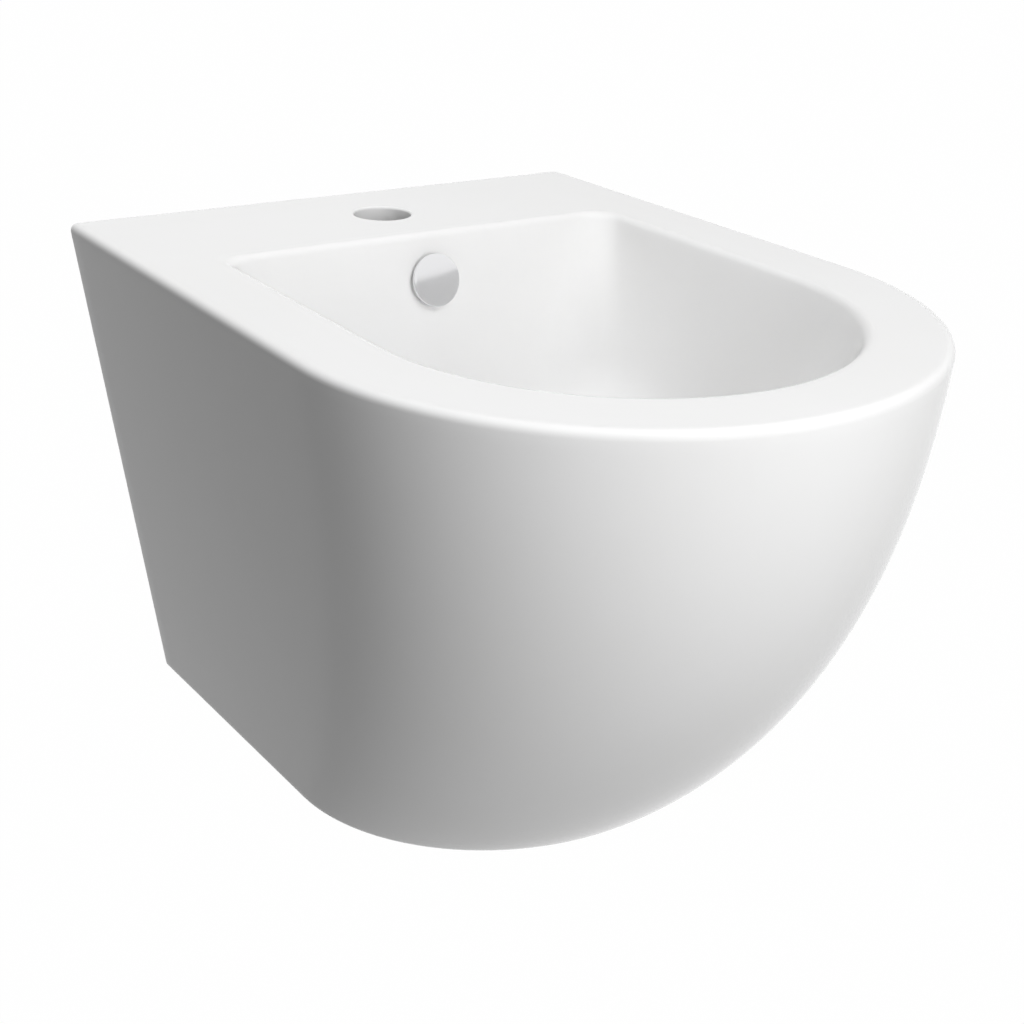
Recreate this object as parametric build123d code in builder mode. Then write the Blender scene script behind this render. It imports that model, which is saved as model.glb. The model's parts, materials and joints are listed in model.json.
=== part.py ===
from build123d import *
import os
from math import cos, pi, radians, sin, tan

# Wall-hung bidet: a one-piece fired ceramic body with its overflow cover, click waste,
# bottle trap and wall fixings. Millimetres, +Z up, the wall face is the plane Y = 0 and the
# front points along -Y. The origin lies midway between the two fixing studs, on the wall.

# Ceramic body, outside
body_width = 360.0
body_depth = 465.0
body_height = 312.0
rim_above_fixings = 85.0
bottom_width = 275.2
bottom_depth = 331.0
top_straight = 287.0
bottom_straight = 203.0
profile_power_down = 2.24
profile_power_out = 1.08
underside_rise = 0.04
rim_edge_radius = 5.0
back_corner_radius = 6.0
back_grind = 0.5

# How far a cutting shape runs past the face that it opens, and how near two places match
overrun = 4.0
match = 0.01

# Ring marks at the wall face, on the studs and the outlet pipe
insertion_mark_width = 1.0
insertion_mark_depth = 0.4

# Cross-sections that each lofted face runs through
shell_steps = 10
bowl_steps = 5

# Ceramic body, thicknesses
shell_wall = 11.0
deck_thickness = 14.0
back_plate = 16.0
floor_thickness = 12.0
bowl_wall = 10.0

# Bowl, measured at the flat top of the rim and then down its walls
bowl_width = 275.0
bowl_rear_setback = 110.5
bowl_front_reach = 426.0
bowl_straight = 284.5
bowl_edge_radius = 5.0
bowl_depth = 130.0
bowl_side_draft = 14.0
bowl_rear_draft = 12.0
bowl_front_draft = 22.0
bowl_floor_radius = 45.0
bowl_corner_top = 17.0
bowl_corner_floor = 46.0
bowl_floor_side = 2.93

# Tap hole in the rear deck
tap_hole_diameter = 35.5
tap_hole_setback = 60.4
tap_hole_edge = 1.2

# Drain in the bowl's floor
drain_setback = 235.0
drain_hole_diameter = 46.0
dish_radius = 52.0
dish_depth = 6.0
drain_land_radius = 40.0
gallery_radius = 29.0
gallery_roof = 7.0

# Overflow in the bowl's rear wall
overflow_drop = 27.7
overflow_hole_diameter = 24.0
channel_depth = 12.0
channel_width = 24.0
channel_wall = 7.0
channel_run = 66.0
channel_turn_setback = 142.0
channel_head_room = 1.0

# Wall fixings
fixing_spacing = 180.0
fixing_hole_diameter = 20.0
fixing_boss_diameter = 46.0
fixing_boss_length = 24.0
stud_diameter = 12.0
stud_in_wall = 45.0
stud_tail = 8.5
bush_flange_diameter = 34.0
bush_flange_thickness = 3.0
bush_clearance = 0.3
bush_setback = 2.0
washer_diameter = 30.0
washer_thickness = 2.5
nut_across_flats = 19.0
nut_height = 10.0

# Openings for pipes and hands in the back and the underside
service_half_width = 80.0
service_top_drop = 55.0
service_floor_reach = 280.0
service_corner = 25.0

# Overflow cover
cover_diameter = 32.0
cover_thickness = 2.5
cover_gap = 3.0
cover_edge = 0.5
cover_stem_diameter = 5.0
cover_stem_length = 12.0
insert_length = 14.0
insert_wall = 1.5
insert_flange_diameter = 27.0
insert_flange_thickness = 1.0
insert_web = 3.0
insert_arm_width = 2.0
insert_web_inset = 1.0
insert_gasket_thickness = 0.8
insert_seat_gap = 0.3
stem_clearance = 0.05

# Click waste
waste_flange_diameter = 66.0
waste_flange_thickness = 3.0
waste_tube_diameter = 41.9
waste_bore_diameter = 36.0
waste_tube_length = 50.0
waste_slot_count = 4
waste_flange_edge = 1.0
waste_flange_room = 1.0
waste_slot_width = 14.0
waste_slot_height = 9.0
flange_gasket_thickness = 1.5
bridge_drop = 30.0
bridge_thickness = 5.0
bridge_hub_diameter = 17.0
bridge_arm_width = 4.0
bridge_arm_count = 3
cartridge_diameter = 12.0
cartridge_collar_diameter = 16.0
cartridge_collar_thickness = 2.0
cartridge_above_bridge = 12.0
cartridge_below_bridge = 12.0
cartridge_floor = 8.0
piston_diameter = 8.0
piston_bevel = 0.8
piston_end_gap = 1.5
piston_clearance = 0.05
plug_diameter = 62.0
plug_thickness = 4.0
plug_edge_radius = 1.5
plug_travel = 8.0
plug_closed_gap = 0.3
plug_seal_outer = 50.0
plug_seal_inner = 40.0
plug_seal_thickness = 2.0
plug_socket_diameter = 14.0
plug_socket_length = 6.0
piston_into_socket = 4.0
land_gasket_thickness = 5.0
land_gasket_diameter = 62.0
land_gasket_bevel = 2.0
slip_washer_thickness = 2.0
slip_washer_diameter = 58.0
locknut_diameter = 60.0
locknut_thickness = 7.0
locknut_grip_count = 8
locknut_grip_diameter = 6.0
thread_clearance = 0.15

# Bottle trap
trap_tube_diameter = 32.0
trap_tube_wall = 1.5
trap_tube_clearance = 0.3
trap_washer_thickness = 2.0
trap_grip_count = 12
trap_grip_diameter = 3.0
inlet_collar_thickness = 2.5
inlet_nut_diameter = 54.0
inlet_nut_grip = 7.0
inlet_nut_gap = 1.5
inlet_nut_lip = 3.0
neck_seal_height = 5.0
neck_seal_radial = 3.2
neck_nut_diameter = 46.0
neck_nut_height = 13.0
neck_nut_wall = 3.0
neck_gap = 0.6
bottle_diameter = 66.0
bottle_wall = 3.0
bottle_height = 84.0
outlet_drop = 20.5
outlet_branch_length = 20.0
outlet_branch_wall = 3.0
outlet_nut_wall = 3.0
outlet_nut_length = 15.0
outlet_seal_length = 5.0
outlet_engagement = 12.0
dip_clearance = 8.0
cup_height = 16.0
cup_wall = 3.0
cup_seal_thickness = 2.0
pipe_in_wall = 40.0
rosette_diameter = 70.0
rosette_depth = 9.0
rosette_wall = 1.2

# Places worked out from the sizes above
rim_z = rim_above_fixings
underside_z = rim_z - body_height
floor_z = rim_z - bowl_depth
seat_z = floor_z - dish_depth
gallery_z = seat_z - gallery_roof - channel_depth / 2
land_z = gallery_z - channel_depth / 2 - channel_wall
fixing_x = fixing_spacing / 2
rear_start = bowl_rear_setback + bowl_edge_radius * (1 - tan(radians(bowl_rear_draft)))
bowl_floor_rear = rear_start + tan(radians(bowl_rear_draft)) * bowl_depth + bowl_floor_radius
bowl_floor_straight = bowl_floor_rear + bowl_corner_floor + bowl_floor_side


def shell_block(inset, low, high, back):
    """The body's outside, drawn in by inset, between two heights above the underside."""
    heights = [low + (high - low) * step / shell_steps for step in range(shell_steps + 1)]
    with BuildPart() as block:
        for height in heights:
            share = height / body_height
            out = (1 - (1 - share) ** profile_power_down) ** (1 / profile_power_out)
            half_width = bottom_width / 2 + (body_width - bottom_width) / 2 * share - inset
            straight = bottom_straight + (top_straight - bottom_straight) * out
            reach = bottom_depth + (body_depth - bottom_depth) * out - inset
            tilt = underside_rise * (1 - share)
            level = Plane(origin=(0, 0, underside_z + height), x_dir=(1, 0, 0), z_dir=(0, tilt, 1))
            with BuildSketch(level):
                with BuildLine():
                    Polyline((-half_width, -straight), (-half_width, back), (half_width, back),
                             (half_width, -straight))
                    EllipticalCenterArc((0, -straight), half_width, reach - straight, 180, arc_size=180)
                make_face()
        loft()
    return block.part


def bowl_block(grow):
    """The bowl's hollow, or with grow its outside, from its floor up to the rim."""
    round_start = bowl_depth - bowl_floor_radius
    stations = []
    for step in range(bowl_steps):
        stations.append((-overrun + (round_start + overrun) * step / bowl_steps, 0.0))
    for step in range(bowl_steps + 1):
        turn = pi / 2 * step / bowl_steps
        stations.append((round_start + bowl_floor_radius * sin(turn), bowl_floor_radius * (1 - cos(turn))))
    side_start = bowl_width / 2 - bowl_edge_radius * (1 - tan(radians(bowl_side_draft)))
    front_start = bowl_front_reach - bowl_edge_radius * (1 - tan(radians(bowl_front_draft)))
    with BuildPart() as block:
        for depth, rounding in stations:
            rear = rear_start + tan(radians(bowl_rear_draft)) * depth + rounding - grow
            side = side_start - tan(radians(bowl_side_draft)) * depth - rounding + grow
            front = front_start - tan(radians(bowl_front_draft)) * depth - rounding + grow
            share = depth / bowl_depth
            straight = bowl_straight + (bowl_floor_straight - bowl_straight) * share
            corner = bowl_corner_top + (bowl_corner_floor - bowl_corner_top) * share + grow
            level = rim_z - depth * (1 + grow / bowl_depth)
            with BuildSketch(Plane.XY.offset(level)):
                with BuildLine():
                    Line((-side, -straight), (-side, -rear - corner))
                    RadiusArc((-side, -rear - corner), (-side + corner, -rear), corner)
                    Line((-side + corner, -rear), (side - corner, -rear))
                    RadiusArc((side - corner, -rear), (side, -rear - corner), corner)
                    Line((side, -rear - corner), (side, -straight))
                    EllipticalCenterArc((0, -straight), side, front - straight, 180, arc_size=180)
                make_face()
        loft()
    return block.part


def drain_level(height):
    """A level plane on the drain's axis."""
    return Plane(origin=(0, -drain_setback, height))


os.makedirs("parts", exist_ok=True)

# Overflow: the plane of the bowl's rear wall at the overflow, facing into the bowl
overflow_y = -rear_start - tan(radians(bowl_rear_draft)) * overflow_drop
overflow_z = rim_z - overflow_drop
lean = radians(bowl_rear_draft)
overflow_face = Plane(origin=(0, overflow_y, overflow_z), x_dir=(1, 0, 0), z_dir=(0, -cos(lean), sin(lean)))

# Overflow channel: its centre line in the YZ plane, from above the hole down to the gallery
behind = bowl_wall + channel_depth / 2
channel_y = overflow_y + behind * cos(lean)
channel_z = overflow_z - behind * sin(lean)


def channel_route(above):
    """The channel's centre line, starting so far above the overflow hole's centre."""
    return [
        (channel_y + above * sin(lean), channel_z + above * cos(lean)),
        (channel_y - channel_run * sin(lean), channel_z - channel_run * cos(lean)),
        (-channel_turn_setback, gallery_z),
        (-drain_setback + gallery_radius - overrun, gallery_z),
    ]


channel_head = overflow_hole_diameter / 2 + channel_head_room

# The hollow between the shell and the bowl, less the ribs and bosses that stand in it
with BuildPart() as inner_hollow:
    add(shell_block(shell_wall, floor_thickness, body_height - deck_thickness, -back_plate))
    add(bowl_block(bowl_wall), mode=Mode.SUBTRACT)
    with BuildSketch(drain_level(land_z)):
        Circle(drain_land_radius)
    extrude(amount=seat_z - land_z, mode=Mode.SUBTRACT)
    with BuildSketch(Plane.XZ):
        with Locations((-fixing_x, 0), (fixing_x, 0)):
            Circle(fixing_boss_diameter / 2)
    extrude(amount=back_plate + fixing_boss_length, mode=Mode.SUBTRACT)
    with BuildSketch(Plane.YZ):
        with BuildLine():
            Polyline(*channel_route(channel_head + channel_wall))
        trace(line_width=channel_depth + 2 * channel_wall)
    extrude(amount=channel_width / 2 + channel_wall, both=True, mode=Mode.SUBTRACT)

# Ceramic body: one fired piece, rounded rim, open underneath and at the back
with BuildPart() as ceramic_body:
    add(shell_block(0.0, 0.0, body_height, back_grind))
    uprights = ceramic_body.edges().filter_by(
        lambda edge: abs(edge.center().Y - back_grind) < match and edge.bounding_box().size.Z > body_height / 2
    )
    fillet(uprights, back_corner_radius)
    fillet(ceramic_body.faces().sort_by(Axis.Z)[-1].edges(), rim_edge_radius)
    add(bowl_block(0.0), mode=Mode.SUBTRACT)
    rim_face = ceramic_body.faces().filter_by(Plane.XY).sort_by(Axis.Z)[-1]
    fillet(rim_face.inner_wires()[0].edges(), bowl_edge_radius)
    add(inner_hollow.part, mode=Mode.SUBTRACT)
    # Back ground flat to the wall plane
    split(bisect_by=Plane.XZ, keep=Keep.TOP)
    # Tap hole through the rear deck
    with BuildSketch(Plane.XY.offset(rim_z)):
        with Locations((0, -tap_hole_setback)):
            Circle(tap_hole_diameter / 2)
    extrude(amount=-deck_thickness - overrun, mode=Mode.SUBTRACT)
    # Dished floor, drain hole and the overflow's ring-shaped gallery around it
    with BuildSketch(Plane.XZ.offset(drain_setback)):
        with BuildLine():
            Polyline(
                (0, floor_z + overrun),
                (dish_radius, floor_z + overrun),
                (dish_radius, floor_z),
                (waste_flange_diameter / 2 + waste_flange_room, seat_z),
                (drain_hole_diameter / 2, seat_z),
                (drain_hole_diameter / 2, gallery_z + channel_depth / 2),
                (gallery_radius, gallery_z + channel_depth / 2),
                (gallery_radius, gallery_z - channel_depth / 2),
                (drain_hole_diameter / 2, gallery_z - channel_depth / 2),
                (drain_hole_diameter / 2, land_z - overrun),
                (0, land_z - overrun),
                close=True,
            )
        make_face()
    revolve(axis=Axis((0, -drain_setback, 0), (0, 0, 1)), mode=Mode.SUBTRACT)
    # Overflow hole and the channel that leads it down to the gallery
    with BuildSketch(overflow_face.offset(overrun)):
        Circle(overflow_hole_diameter / 2)
    extrude(amount=-overrun - behind, mode=Mode.SUBTRACT)
    with BuildSketch(Plane.YZ):
        with BuildLine():
            Polyline(*channel_route(channel_head))
        trace(line_width=channel_depth)
    extrude(amount=channel_width / 2, both=True, mode=Mode.SUBTRACT)
    # Holes for the two wall fixings
    with BuildSketch(Plane.XZ):
        with Locations((-fixing_x, 0), (fixing_x, 0)):
            Circle(fixing_hole_diameter / 2)
    extrude(amount=back_plate + fixing_boss_length, mode=Mode.SUBTRACT)
    # Service openings at the back and underneath, run together at the wall
    back_opening = -service_top_drop - underside_z
    with BuildSketch(Plane.XZ.offset(-overrun)):
        with Locations((0, -service_top_drop - (back_opening + service_corner + overrun) / 2)):
            RectangleRounded(2 * service_half_width, back_opening + service_corner + overrun, service_corner)
    extrude(amount=back_plate + 2 * overrun, mode=Mode.SUBTRACT)
    floor_rise = underside_rise * service_floor_reach
    with BuildSketch(Plane.XY.offset(underside_z - overrun)):
        with Locations((0, -(service_floor_reach - service_corner - overrun) / 2)):
            RectangleRounded(
                2 * service_half_width, service_floor_reach + service_corner + overrun, service_corner
            )
    extrude(amount=floor_thickness + floor_rise + 2 * overrun, mode=Mode.SUBTRACT)
    tap_edge = ceramic_body.edges().filter_by(
        lambda edge: edge.geom_type == GeomType.CIRCLE
        and abs(edge.center().Z - rim_z) < match
        and abs(edge.radius - tap_hole_diameter / 2) < match
    )
    fillet(tap_edge, tap_hole_edge)
ceramic_body.part.label = "ceramic_body"
export_step(ceramic_body.part, "parts/ceramic_body.step")

# Overflow cover: a flat disc on a stem, standing proud of the wall
with BuildPart() as overflow_cover:
    with BuildSketch(overflow_face.offset(cover_gap)):
        Circle(cover_diameter / 2)
    extrude(amount=cover_thickness)
    fillet(overflow_cover.edges().filter_by(GeomType.CIRCLE), cover_edge)
    with BuildSketch(overflow_face.offset(cover_gap)):
        Circle(cover_stem_diameter / 2)
    extrude(amount=-cover_stem_length)
overflow_cover.part.label = "overflow_cover"
export_step(overflow_cover.part, "parts/overflow_cover.step")

# Overflow insert: a flanged sleeve in the hole, with a web that grips the cover's stem
insert_base = insert_seat_gap + insert_gasket_thickness
insert_radius = overflow_hole_diameter / 2 - insert_seat_gap
with BuildPart() as overflow_insert:
    with BuildSketch(overflow_face.offset(insert_base)):
        Circle(insert_flange_diameter / 2)
        Circle(insert_radius - insert_wall, mode=Mode.SUBTRACT)
    extrude(amount=insert_flange_thickness)
    with BuildSketch(overflow_face.offset(insert_base)):
        Circle(insert_radius)
        Circle(insert_radius - insert_wall, mode=Mode.SUBTRACT)
    extrude(amount=-insert_length)
    with BuildSketch(overflow_face.offset(cover_gap - cover_stem_length + insert_web_inset)):
        Rectangle(2 * insert_radius - insert_wall, insert_arm_width)
        Rectangle(insert_arm_width, 2 * insert_radius - insert_wall)
        Circle(cover_stem_diameter / 2 + insert_wall)
        Circle(cover_stem_diameter / 2 + stem_clearance, mode=Mode.SUBTRACT)
    extrude(amount=insert_web)
overflow_insert.part.label = "overflow_insert"
export_step(overflow_insert.part, "parts/overflow_insert.step")

# Overflow gasket: a thin ring between the insert's flange and the glaze
with BuildPart() as overflow_gasket:
    with BuildSketch(overflow_face.offset(insert_seat_gap)):
        Circle(insert_flange_diameter / 2)
        Circle(insert_radius + insert_seat_gap, mode=Mode.SUBTRACT)
    extrude(amount=insert_gasket_thickness)
overflow_gasket.part.label = "overflow_gasket"
export_step(overflow_gasket.part, "parts/overflow_gasket.step")

# Waste body: flange, threaded tube with overflow slots, and a bridge that holds the cartridge
flange_z = seat_z + flange_gasket_thickness
flange_top = flange_z + waste_flange_thickness
tube_end = flange_z - waste_tube_length
bridge_z = flange_top - bridge_drop
with BuildPart() as waste_body:
    with BuildSketch(drain_level(flange_z)):
        Circle(waste_flange_diameter / 2)
    extrude(amount=waste_flange_thickness)
    fillet(waste_body.edges().filter_by(GeomType.CIRCLE).sort_by(Axis.Z)[-1], waste_flange_edge)
    with BuildSketch(drain_level(flange_z)):
        Circle(waste_tube_diameter / 2)
    extrude(amount=-waste_tube_length)
    with BuildSketch(drain_level(tube_end)):
        Circle(waste_bore_diameter / 2)
    extrude(amount=flange_top - tube_end, mode=Mode.SUBTRACT)
    with BuildSketch(drain_level(gallery_z - waste_slot_height / 2)):
        with PolarLocations(waste_tube_diameter / 2, waste_slot_count):
            Rectangle(waste_tube_diameter - waste_bore_diameter + overrun, waste_slot_width)
    extrude(amount=waste_slot_height, mode=Mode.SUBTRACT)
    with BuildSketch(drain_level(bridge_z)):
        Circle(bridge_hub_diameter / 2)
        with PolarLocations(waste_bore_diameter / 4, bridge_arm_count):
            Rectangle(waste_bore_diameter / 2 + bridge_arm_width / 2, bridge_arm_width)
        Circle(cartridge_diameter / 2 + thread_clearance, mode=Mode.SUBTRACT)
    extrude(amount=-bridge_thickness)
waste_body.part.label = "waste_body"
export_step(waste_body.part, "parts/waste_body.step")

# Flange gasket: the ring that the waste's flange is pulled down onto
with BuildPart() as flange_gasket:
    with BuildSketch(drain_level(seat_z)):
        Circle(waste_flange_diameter / 2 - flange_gasket_thickness)
        Circle(waste_tube_diameter / 2 + thread_clearance, mode=Mode.SUBTRACT)
    extrude(amount=flange_gasket_thickness)
flange_gasket.part.label = "flange_gasket"
export_step(flange_gasket.part, "parts/flange_gasket.step")

# Land gasket: the thick ring under the ceramic, bevelled towards the drain hole
land_gasket_z = land_z - land_gasket_thickness
with BuildPart() as land_gasket:
    with BuildSketch(drain_level(land_gasket_z)):
        Circle(land_gasket_diameter / 2)
    extrude(amount=land_gasket_thickness)
    chamfer(land_gasket.edges().filter_by(GeomType.CIRCLE).sort_by(Axis.Z)[0], land_gasket_bevel)
    with BuildSketch(drain_level(land_gasket_z)):
        Circle(waste_tube_diameter / 2 + thread_clearance)
    extrude(amount=land_gasket_thickness, mode=Mode.SUBTRACT)
land_gasket.part.label = "land_gasket"
export_step(land_gasket.part, "parts/land_gasket.step")

# Slip washer between the land gasket and the locknut
slip_washer_z = land_gasket_z - slip_washer_thickness
with BuildPart() as slip_washer:
    with BuildSketch(drain_level(slip_washer_z)):
        Circle(slip_washer_diameter / 2)
        Circle(waste_tube_diameter / 2 + thread_clearance, mode=Mode.SUBTRACT)
    extrude(amount=slip_washer_thickness)
slip_washer.part.label = "slip_washer"
export_step(slip_washer.part, "parts/slip_washer.step")

# Waste locknut, notched round its rim for a wrench
locknut_z = slip_washer_z - locknut_thickness
with BuildPart() as waste_locknut:
    with BuildSketch(drain_level(locknut_z)):
        Circle(locknut_diameter / 2)
        Circle(waste_tube_diameter / 2 + thread_clearance, mode=Mode.SUBTRACT)
        with PolarLocations(locknut_diameter / 2, locknut_grip_count):
            Circle(locknut_grip_diameter / 2, mode=Mode.SUBTRACT)
    extrude(amount=locknut_thickness)
waste_locknut.part.label = "waste_locknut"
export_step(waste_locknut.part, "parts/waste_locknut.step")

# Click cartridge: screwed into the bridge, with a guide bore for the plug's piston
cartridge_top = bridge_z + cartridge_above_bridge
cartridge_end = bridge_z - bridge_thickness - cartridge_below_bridge
with BuildPart() as click_cartridge:
    with BuildSketch(drain_level(cartridge_end)):
        Circle(cartridge_diameter / 2)
    extrude(amount=cartridge_top - cartridge_end)
    with BuildSketch(drain_level(bridge_z)):
        Circle(cartridge_collar_diameter / 2)
    extrude(amount=cartridge_collar_thickness)
    with BuildSketch(drain_level(cartridge_end + cartridge_floor)):
        Circle(piston_diameter / 2 + piston_clearance)
    extrude(amount=cartridge_top - cartridge_end, mode=Mode.SUBTRACT)
click_cartridge.part.label = "click_cartridge"
export_step(click_cartridge.part, "parts/click_cartridge.step")

# Waste plug: the domed cap with a socket below, drawn in its raised, open position
plug_z = flange_top + plug_closed_gap + plug_seal_thickness + plug_travel
with BuildPart() as waste_plug:
    with BuildSketch(drain_level(plug_z)):
        Circle(plug_diameter / 2)
    extrude(amount=plug_thickness)
    fillet(waste_plug.edges().filter_by(GeomType.CIRCLE).sort_by(Axis.Z)[-1], plug_edge_radius)
    with BuildSketch(drain_level(plug_z)):
        Circle(plug_socket_diameter / 2)
    extrude(amount=-plug_socket_length)
    with BuildSketch(drain_level(plug_z - plug_socket_length)):
        Circle(piston_diameter / 2 + piston_clearance)
    extrude(amount=piston_into_socket, mode=Mode.SUBTRACT)
waste_plug.part.label = "waste_plug"
export_step(waste_plug.part, "parts/waste_plug.step")

# Plug seal: the ring under the cap that meets the flange when the plug is down
with BuildPart() as plug_seal:
    with BuildSketch(drain_level(plug_z - plug_seal_thickness)):
        Circle(plug_seal_outer / 2)
        Circle(plug_seal_inner / 2, mode=Mode.SUBTRACT)
    extrude(amount=plug_seal_thickness)
plug_seal.part.label = "plug_seal"
export_step(plug_seal.part, "parts/plug_seal.step")

# Plug piston: the rod that slides in the cartridge
piston_top = plug_z - plug_socket_length + piston_into_socket
piston_end = cartridge_end + cartridge_floor + piston_end_gap + plug_travel
with BuildPart() as plug_piston:
    with BuildSketch(drain_level(piston_end)):
        Circle(piston_diameter / 2)
    extrude(amount=piston_top - piston_end)
    chamfer(plug_piston.edges().filter_by(GeomType.CIRCLE).sort_by(Axis.Z)[0], piston_bevel)
plug_piston.part.label = "plug_piston"
export_step(plug_piston.part, "parts/plug_piston.step")

# Trap washer: seals the inlet tube's collar to the end of the waste
trap_washer_z = tube_end - trap_washer_thickness
with BuildPart() as trap_washer:
    with BuildSketch(drain_level(trap_washer_z)):
        Circle(waste_tube_diameter / 2)
        Circle(trap_tube_diameter / 2 - trap_tube_wall, mode=Mode.SUBTRACT)
    extrude(amount=trap_washer_thickness)
trap_washer.part.label = "trap_washer"
export_step(trap_washer.part, "parts/trap_washer.step")

# Levels down the bottle trap
collar_z = trap_washer_z - inlet_collar_thickness
inlet_nut_z = collar_z - inlet_nut_lip
neck_nut_z = inlet_nut_z - inlet_nut_gap - neck_nut_height
neck_seal_z = neck_nut_z + neck_nut_height - neck_nut_wall - neck_seal_height
neck_base = neck_nut_z - neck_gap
bottle_end = neck_base - bottle_height
outlet_z = neck_base - outlet_drop
dip_end = bottle_end + dip_clearance
tube_radius = trap_tube_diameter / 2
neck_radius = neck_nut_diameter / 2 - neck_nut_wall - thread_clearance
tube_bore = tube_radius + trap_tube_clearance

# Trap inlet tube: collar under the waste and the long dip tube down into the bottle
with BuildPart() as trap_inlet_tube:
    with BuildSketch(drain_level(collar_z)):
        Circle(waste_tube_diameter / 2)
    extrude(amount=inlet_collar_thickness)
    with BuildSketch(drain_level(dip_end)):
        Circle(tube_radius)
    extrude(amount=collar_z - dip_end)
    with BuildSketch(drain_level(dip_end)):
        Circle(tube_radius - trap_tube_wall)
    extrude(amount=collar_z + inlet_collar_thickness - dip_end, mode=Mode.SUBTRACT)
trap_inlet_tube.part.label = "trap_inlet_tube"
export_step(trap_inlet_tube.part, "parts/trap_inlet_tube.step")

# Trap inlet nut: screwed on the waste's thread, its lip holding the tube's collar
with BuildPart() as trap_inlet_nut:
    with BuildSketch(drain_level(inlet_nut_z)):
        Circle(inlet_nut_diameter / 2)
        with PolarLocations(inlet_nut_diameter / 2, trap_grip_count):
            Circle(trap_grip_diameter / 2, mode=Mode.SUBTRACT)
    extrude(amount=tube_end + inlet_nut_grip - inlet_nut_z)
    with BuildSketch(drain_level(inlet_nut_z)):
        Circle(tube_radius + thread_clearance)
    extrude(amount=inlet_nut_lip, mode=Mode.SUBTRACT)
    with BuildSketch(drain_level(collar_z)):
        Circle(waste_tube_diameter / 2 + thread_clearance)
    extrude(amount=tube_end + inlet_nut_grip - collar_z, mode=Mode.SUBTRACT)
trap_inlet_nut.part.label = "trap_inlet_nut"
export_step(trap_inlet_nut.part, "parts/trap_inlet_nut.step")

# Neck nut: screwed on the bottle's neck, closing on the dip tube
with BuildPart() as trap_neck_nut:
    with BuildSketch(drain_level(neck_nut_z)):
        Circle(neck_nut_diameter / 2)
        with PolarLocations(neck_nut_diameter / 2, trap_grip_count):
            Circle(trap_grip_diameter / 2, mode=Mode.SUBTRACT)
    extrude(amount=neck_nut_height)
    with BuildSketch(drain_level(neck_nut_z)):
        Circle(neck_radius + thread_clearance)
    extrude(amount=neck_nut_height - neck_nut_wall, mode=Mode.SUBTRACT)
    with BuildSketch(drain_level(neck_nut_z)):
        Circle(tube_radius + thread_clearance)
    extrude(amount=neck_nut_height, mode=Mode.SUBTRACT)
trap_neck_nut.part.label = "trap_neck_nut"
export_step(trap_neck_nut.part, "parts/trap_neck_nut.step")

# Neck seal: the ring that the neck nut squeezes round the dip tube
with BuildPart() as trap_neck_seal:
    with BuildSketch(drain_level(neck_seal_z)):
        Circle(tube_radius + neck_seal_radial)
        Circle(tube_radius + thread_clearance, mode=Mode.SUBTRACT)
    extrude(amount=neck_seal_height)
trap_neck_seal.part.label = "trap_neck_seal"
export_step(trap_neck_seal.part, "parts/trap_neck_seal.step")

# Trap bottle: neck, roof, wall and the side branch towards the wall
branch_radius = tube_bore + outlet_branch_wall
branch_end = -drain_setback + bottle_diameter / 2 + outlet_branch_length
outlet_start = Plane(origin=(0, -drain_setback, outlet_z), x_dir=(1, 0, 0), z_dir=(0, 1, 0))
with BuildPart() as trap_bottle:
    with BuildSketch(drain_level(bottle_end)):
        Circle(bottle_diameter / 2)
    extrude(amount=bottle_height)
    with BuildSketch(drain_level(neck_base)):
        Circle(neck_radius)
    extrude(amount=neck_seal_z - neck_base)
    with BuildSketch(outlet_start):
        Circle(branch_radius)
    extrude(amount=branch_end + drain_setback)
    with BuildSketch(drain_level(bottle_end)):
        Circle(bottle_diameter / 2 - bottle_wall)
    extrude(amount=bottle_height - bottle_wall, mode=Mode.SUBTRACT)
    with BuildSketch(drain_level(bottle_end)):
        Circle(tube_bore)
    extrude(amount=neck_seal_z - bottle_end, mode=Mode.SUBTRACT)
    with BuildSketch(outlet_start):
        Circle(tube_bore)
    extrude(amount=branch_end + drain_setback, mode=Mode.SUBTRACT)
trap_bottle.part.label = "trap_bottle"
export_step(trap_bottle.part, "parts/trap_bottle.step")

# Trap cup: the cleaning cap screwed round the foot of the bottle
cup_floor_z = bottle_end - cup_seal_thickness - cup_wall
cup_radius = bottle_diameter / 2 + thread_clearance + cup_wall
with BuildPart() as trap_cup:
    with BuildSketch(drain_level(cup_floor_z)):
        Circle(cup_radius)
        with PolarLocations(cup_radius, trap_grip_count):
            Circle(trap_grip_diameter / 2, mode=Mode.SUBTRACT)
    extrude(amount=cup_height)
    with BuildSketch(drain_level(cup_floor_z + cup_wall)):
        Circle(bottle_diameter / 2 + thread_clearance)
    extrude(amount=cup_height, mode=Mode.SUBTRACT)
trap_cup.part.label = "trap_cup"
export_step(trap_cup.part, "parts/trap_cup.step")

# Cup seal: the flat ring between the bottle's foot and the cup's floor
with BuildPart() as trap_cup_seal:
    with BuildSketch(drain_level(bottle_end - cup_seal_thickness)):
        Circle(bottle_diameter / 2)
        Circle(bottle_diameter / 2 - bottle_wall, mode=Mode.SUBTRACT)
    extrude(amount=cup_seal_thickness)
trap_cup_seal.part.label = "trap_cup_seal"
export_step(trap_cup_seal.part, "parts/trap_cup_seal.step")

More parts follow.
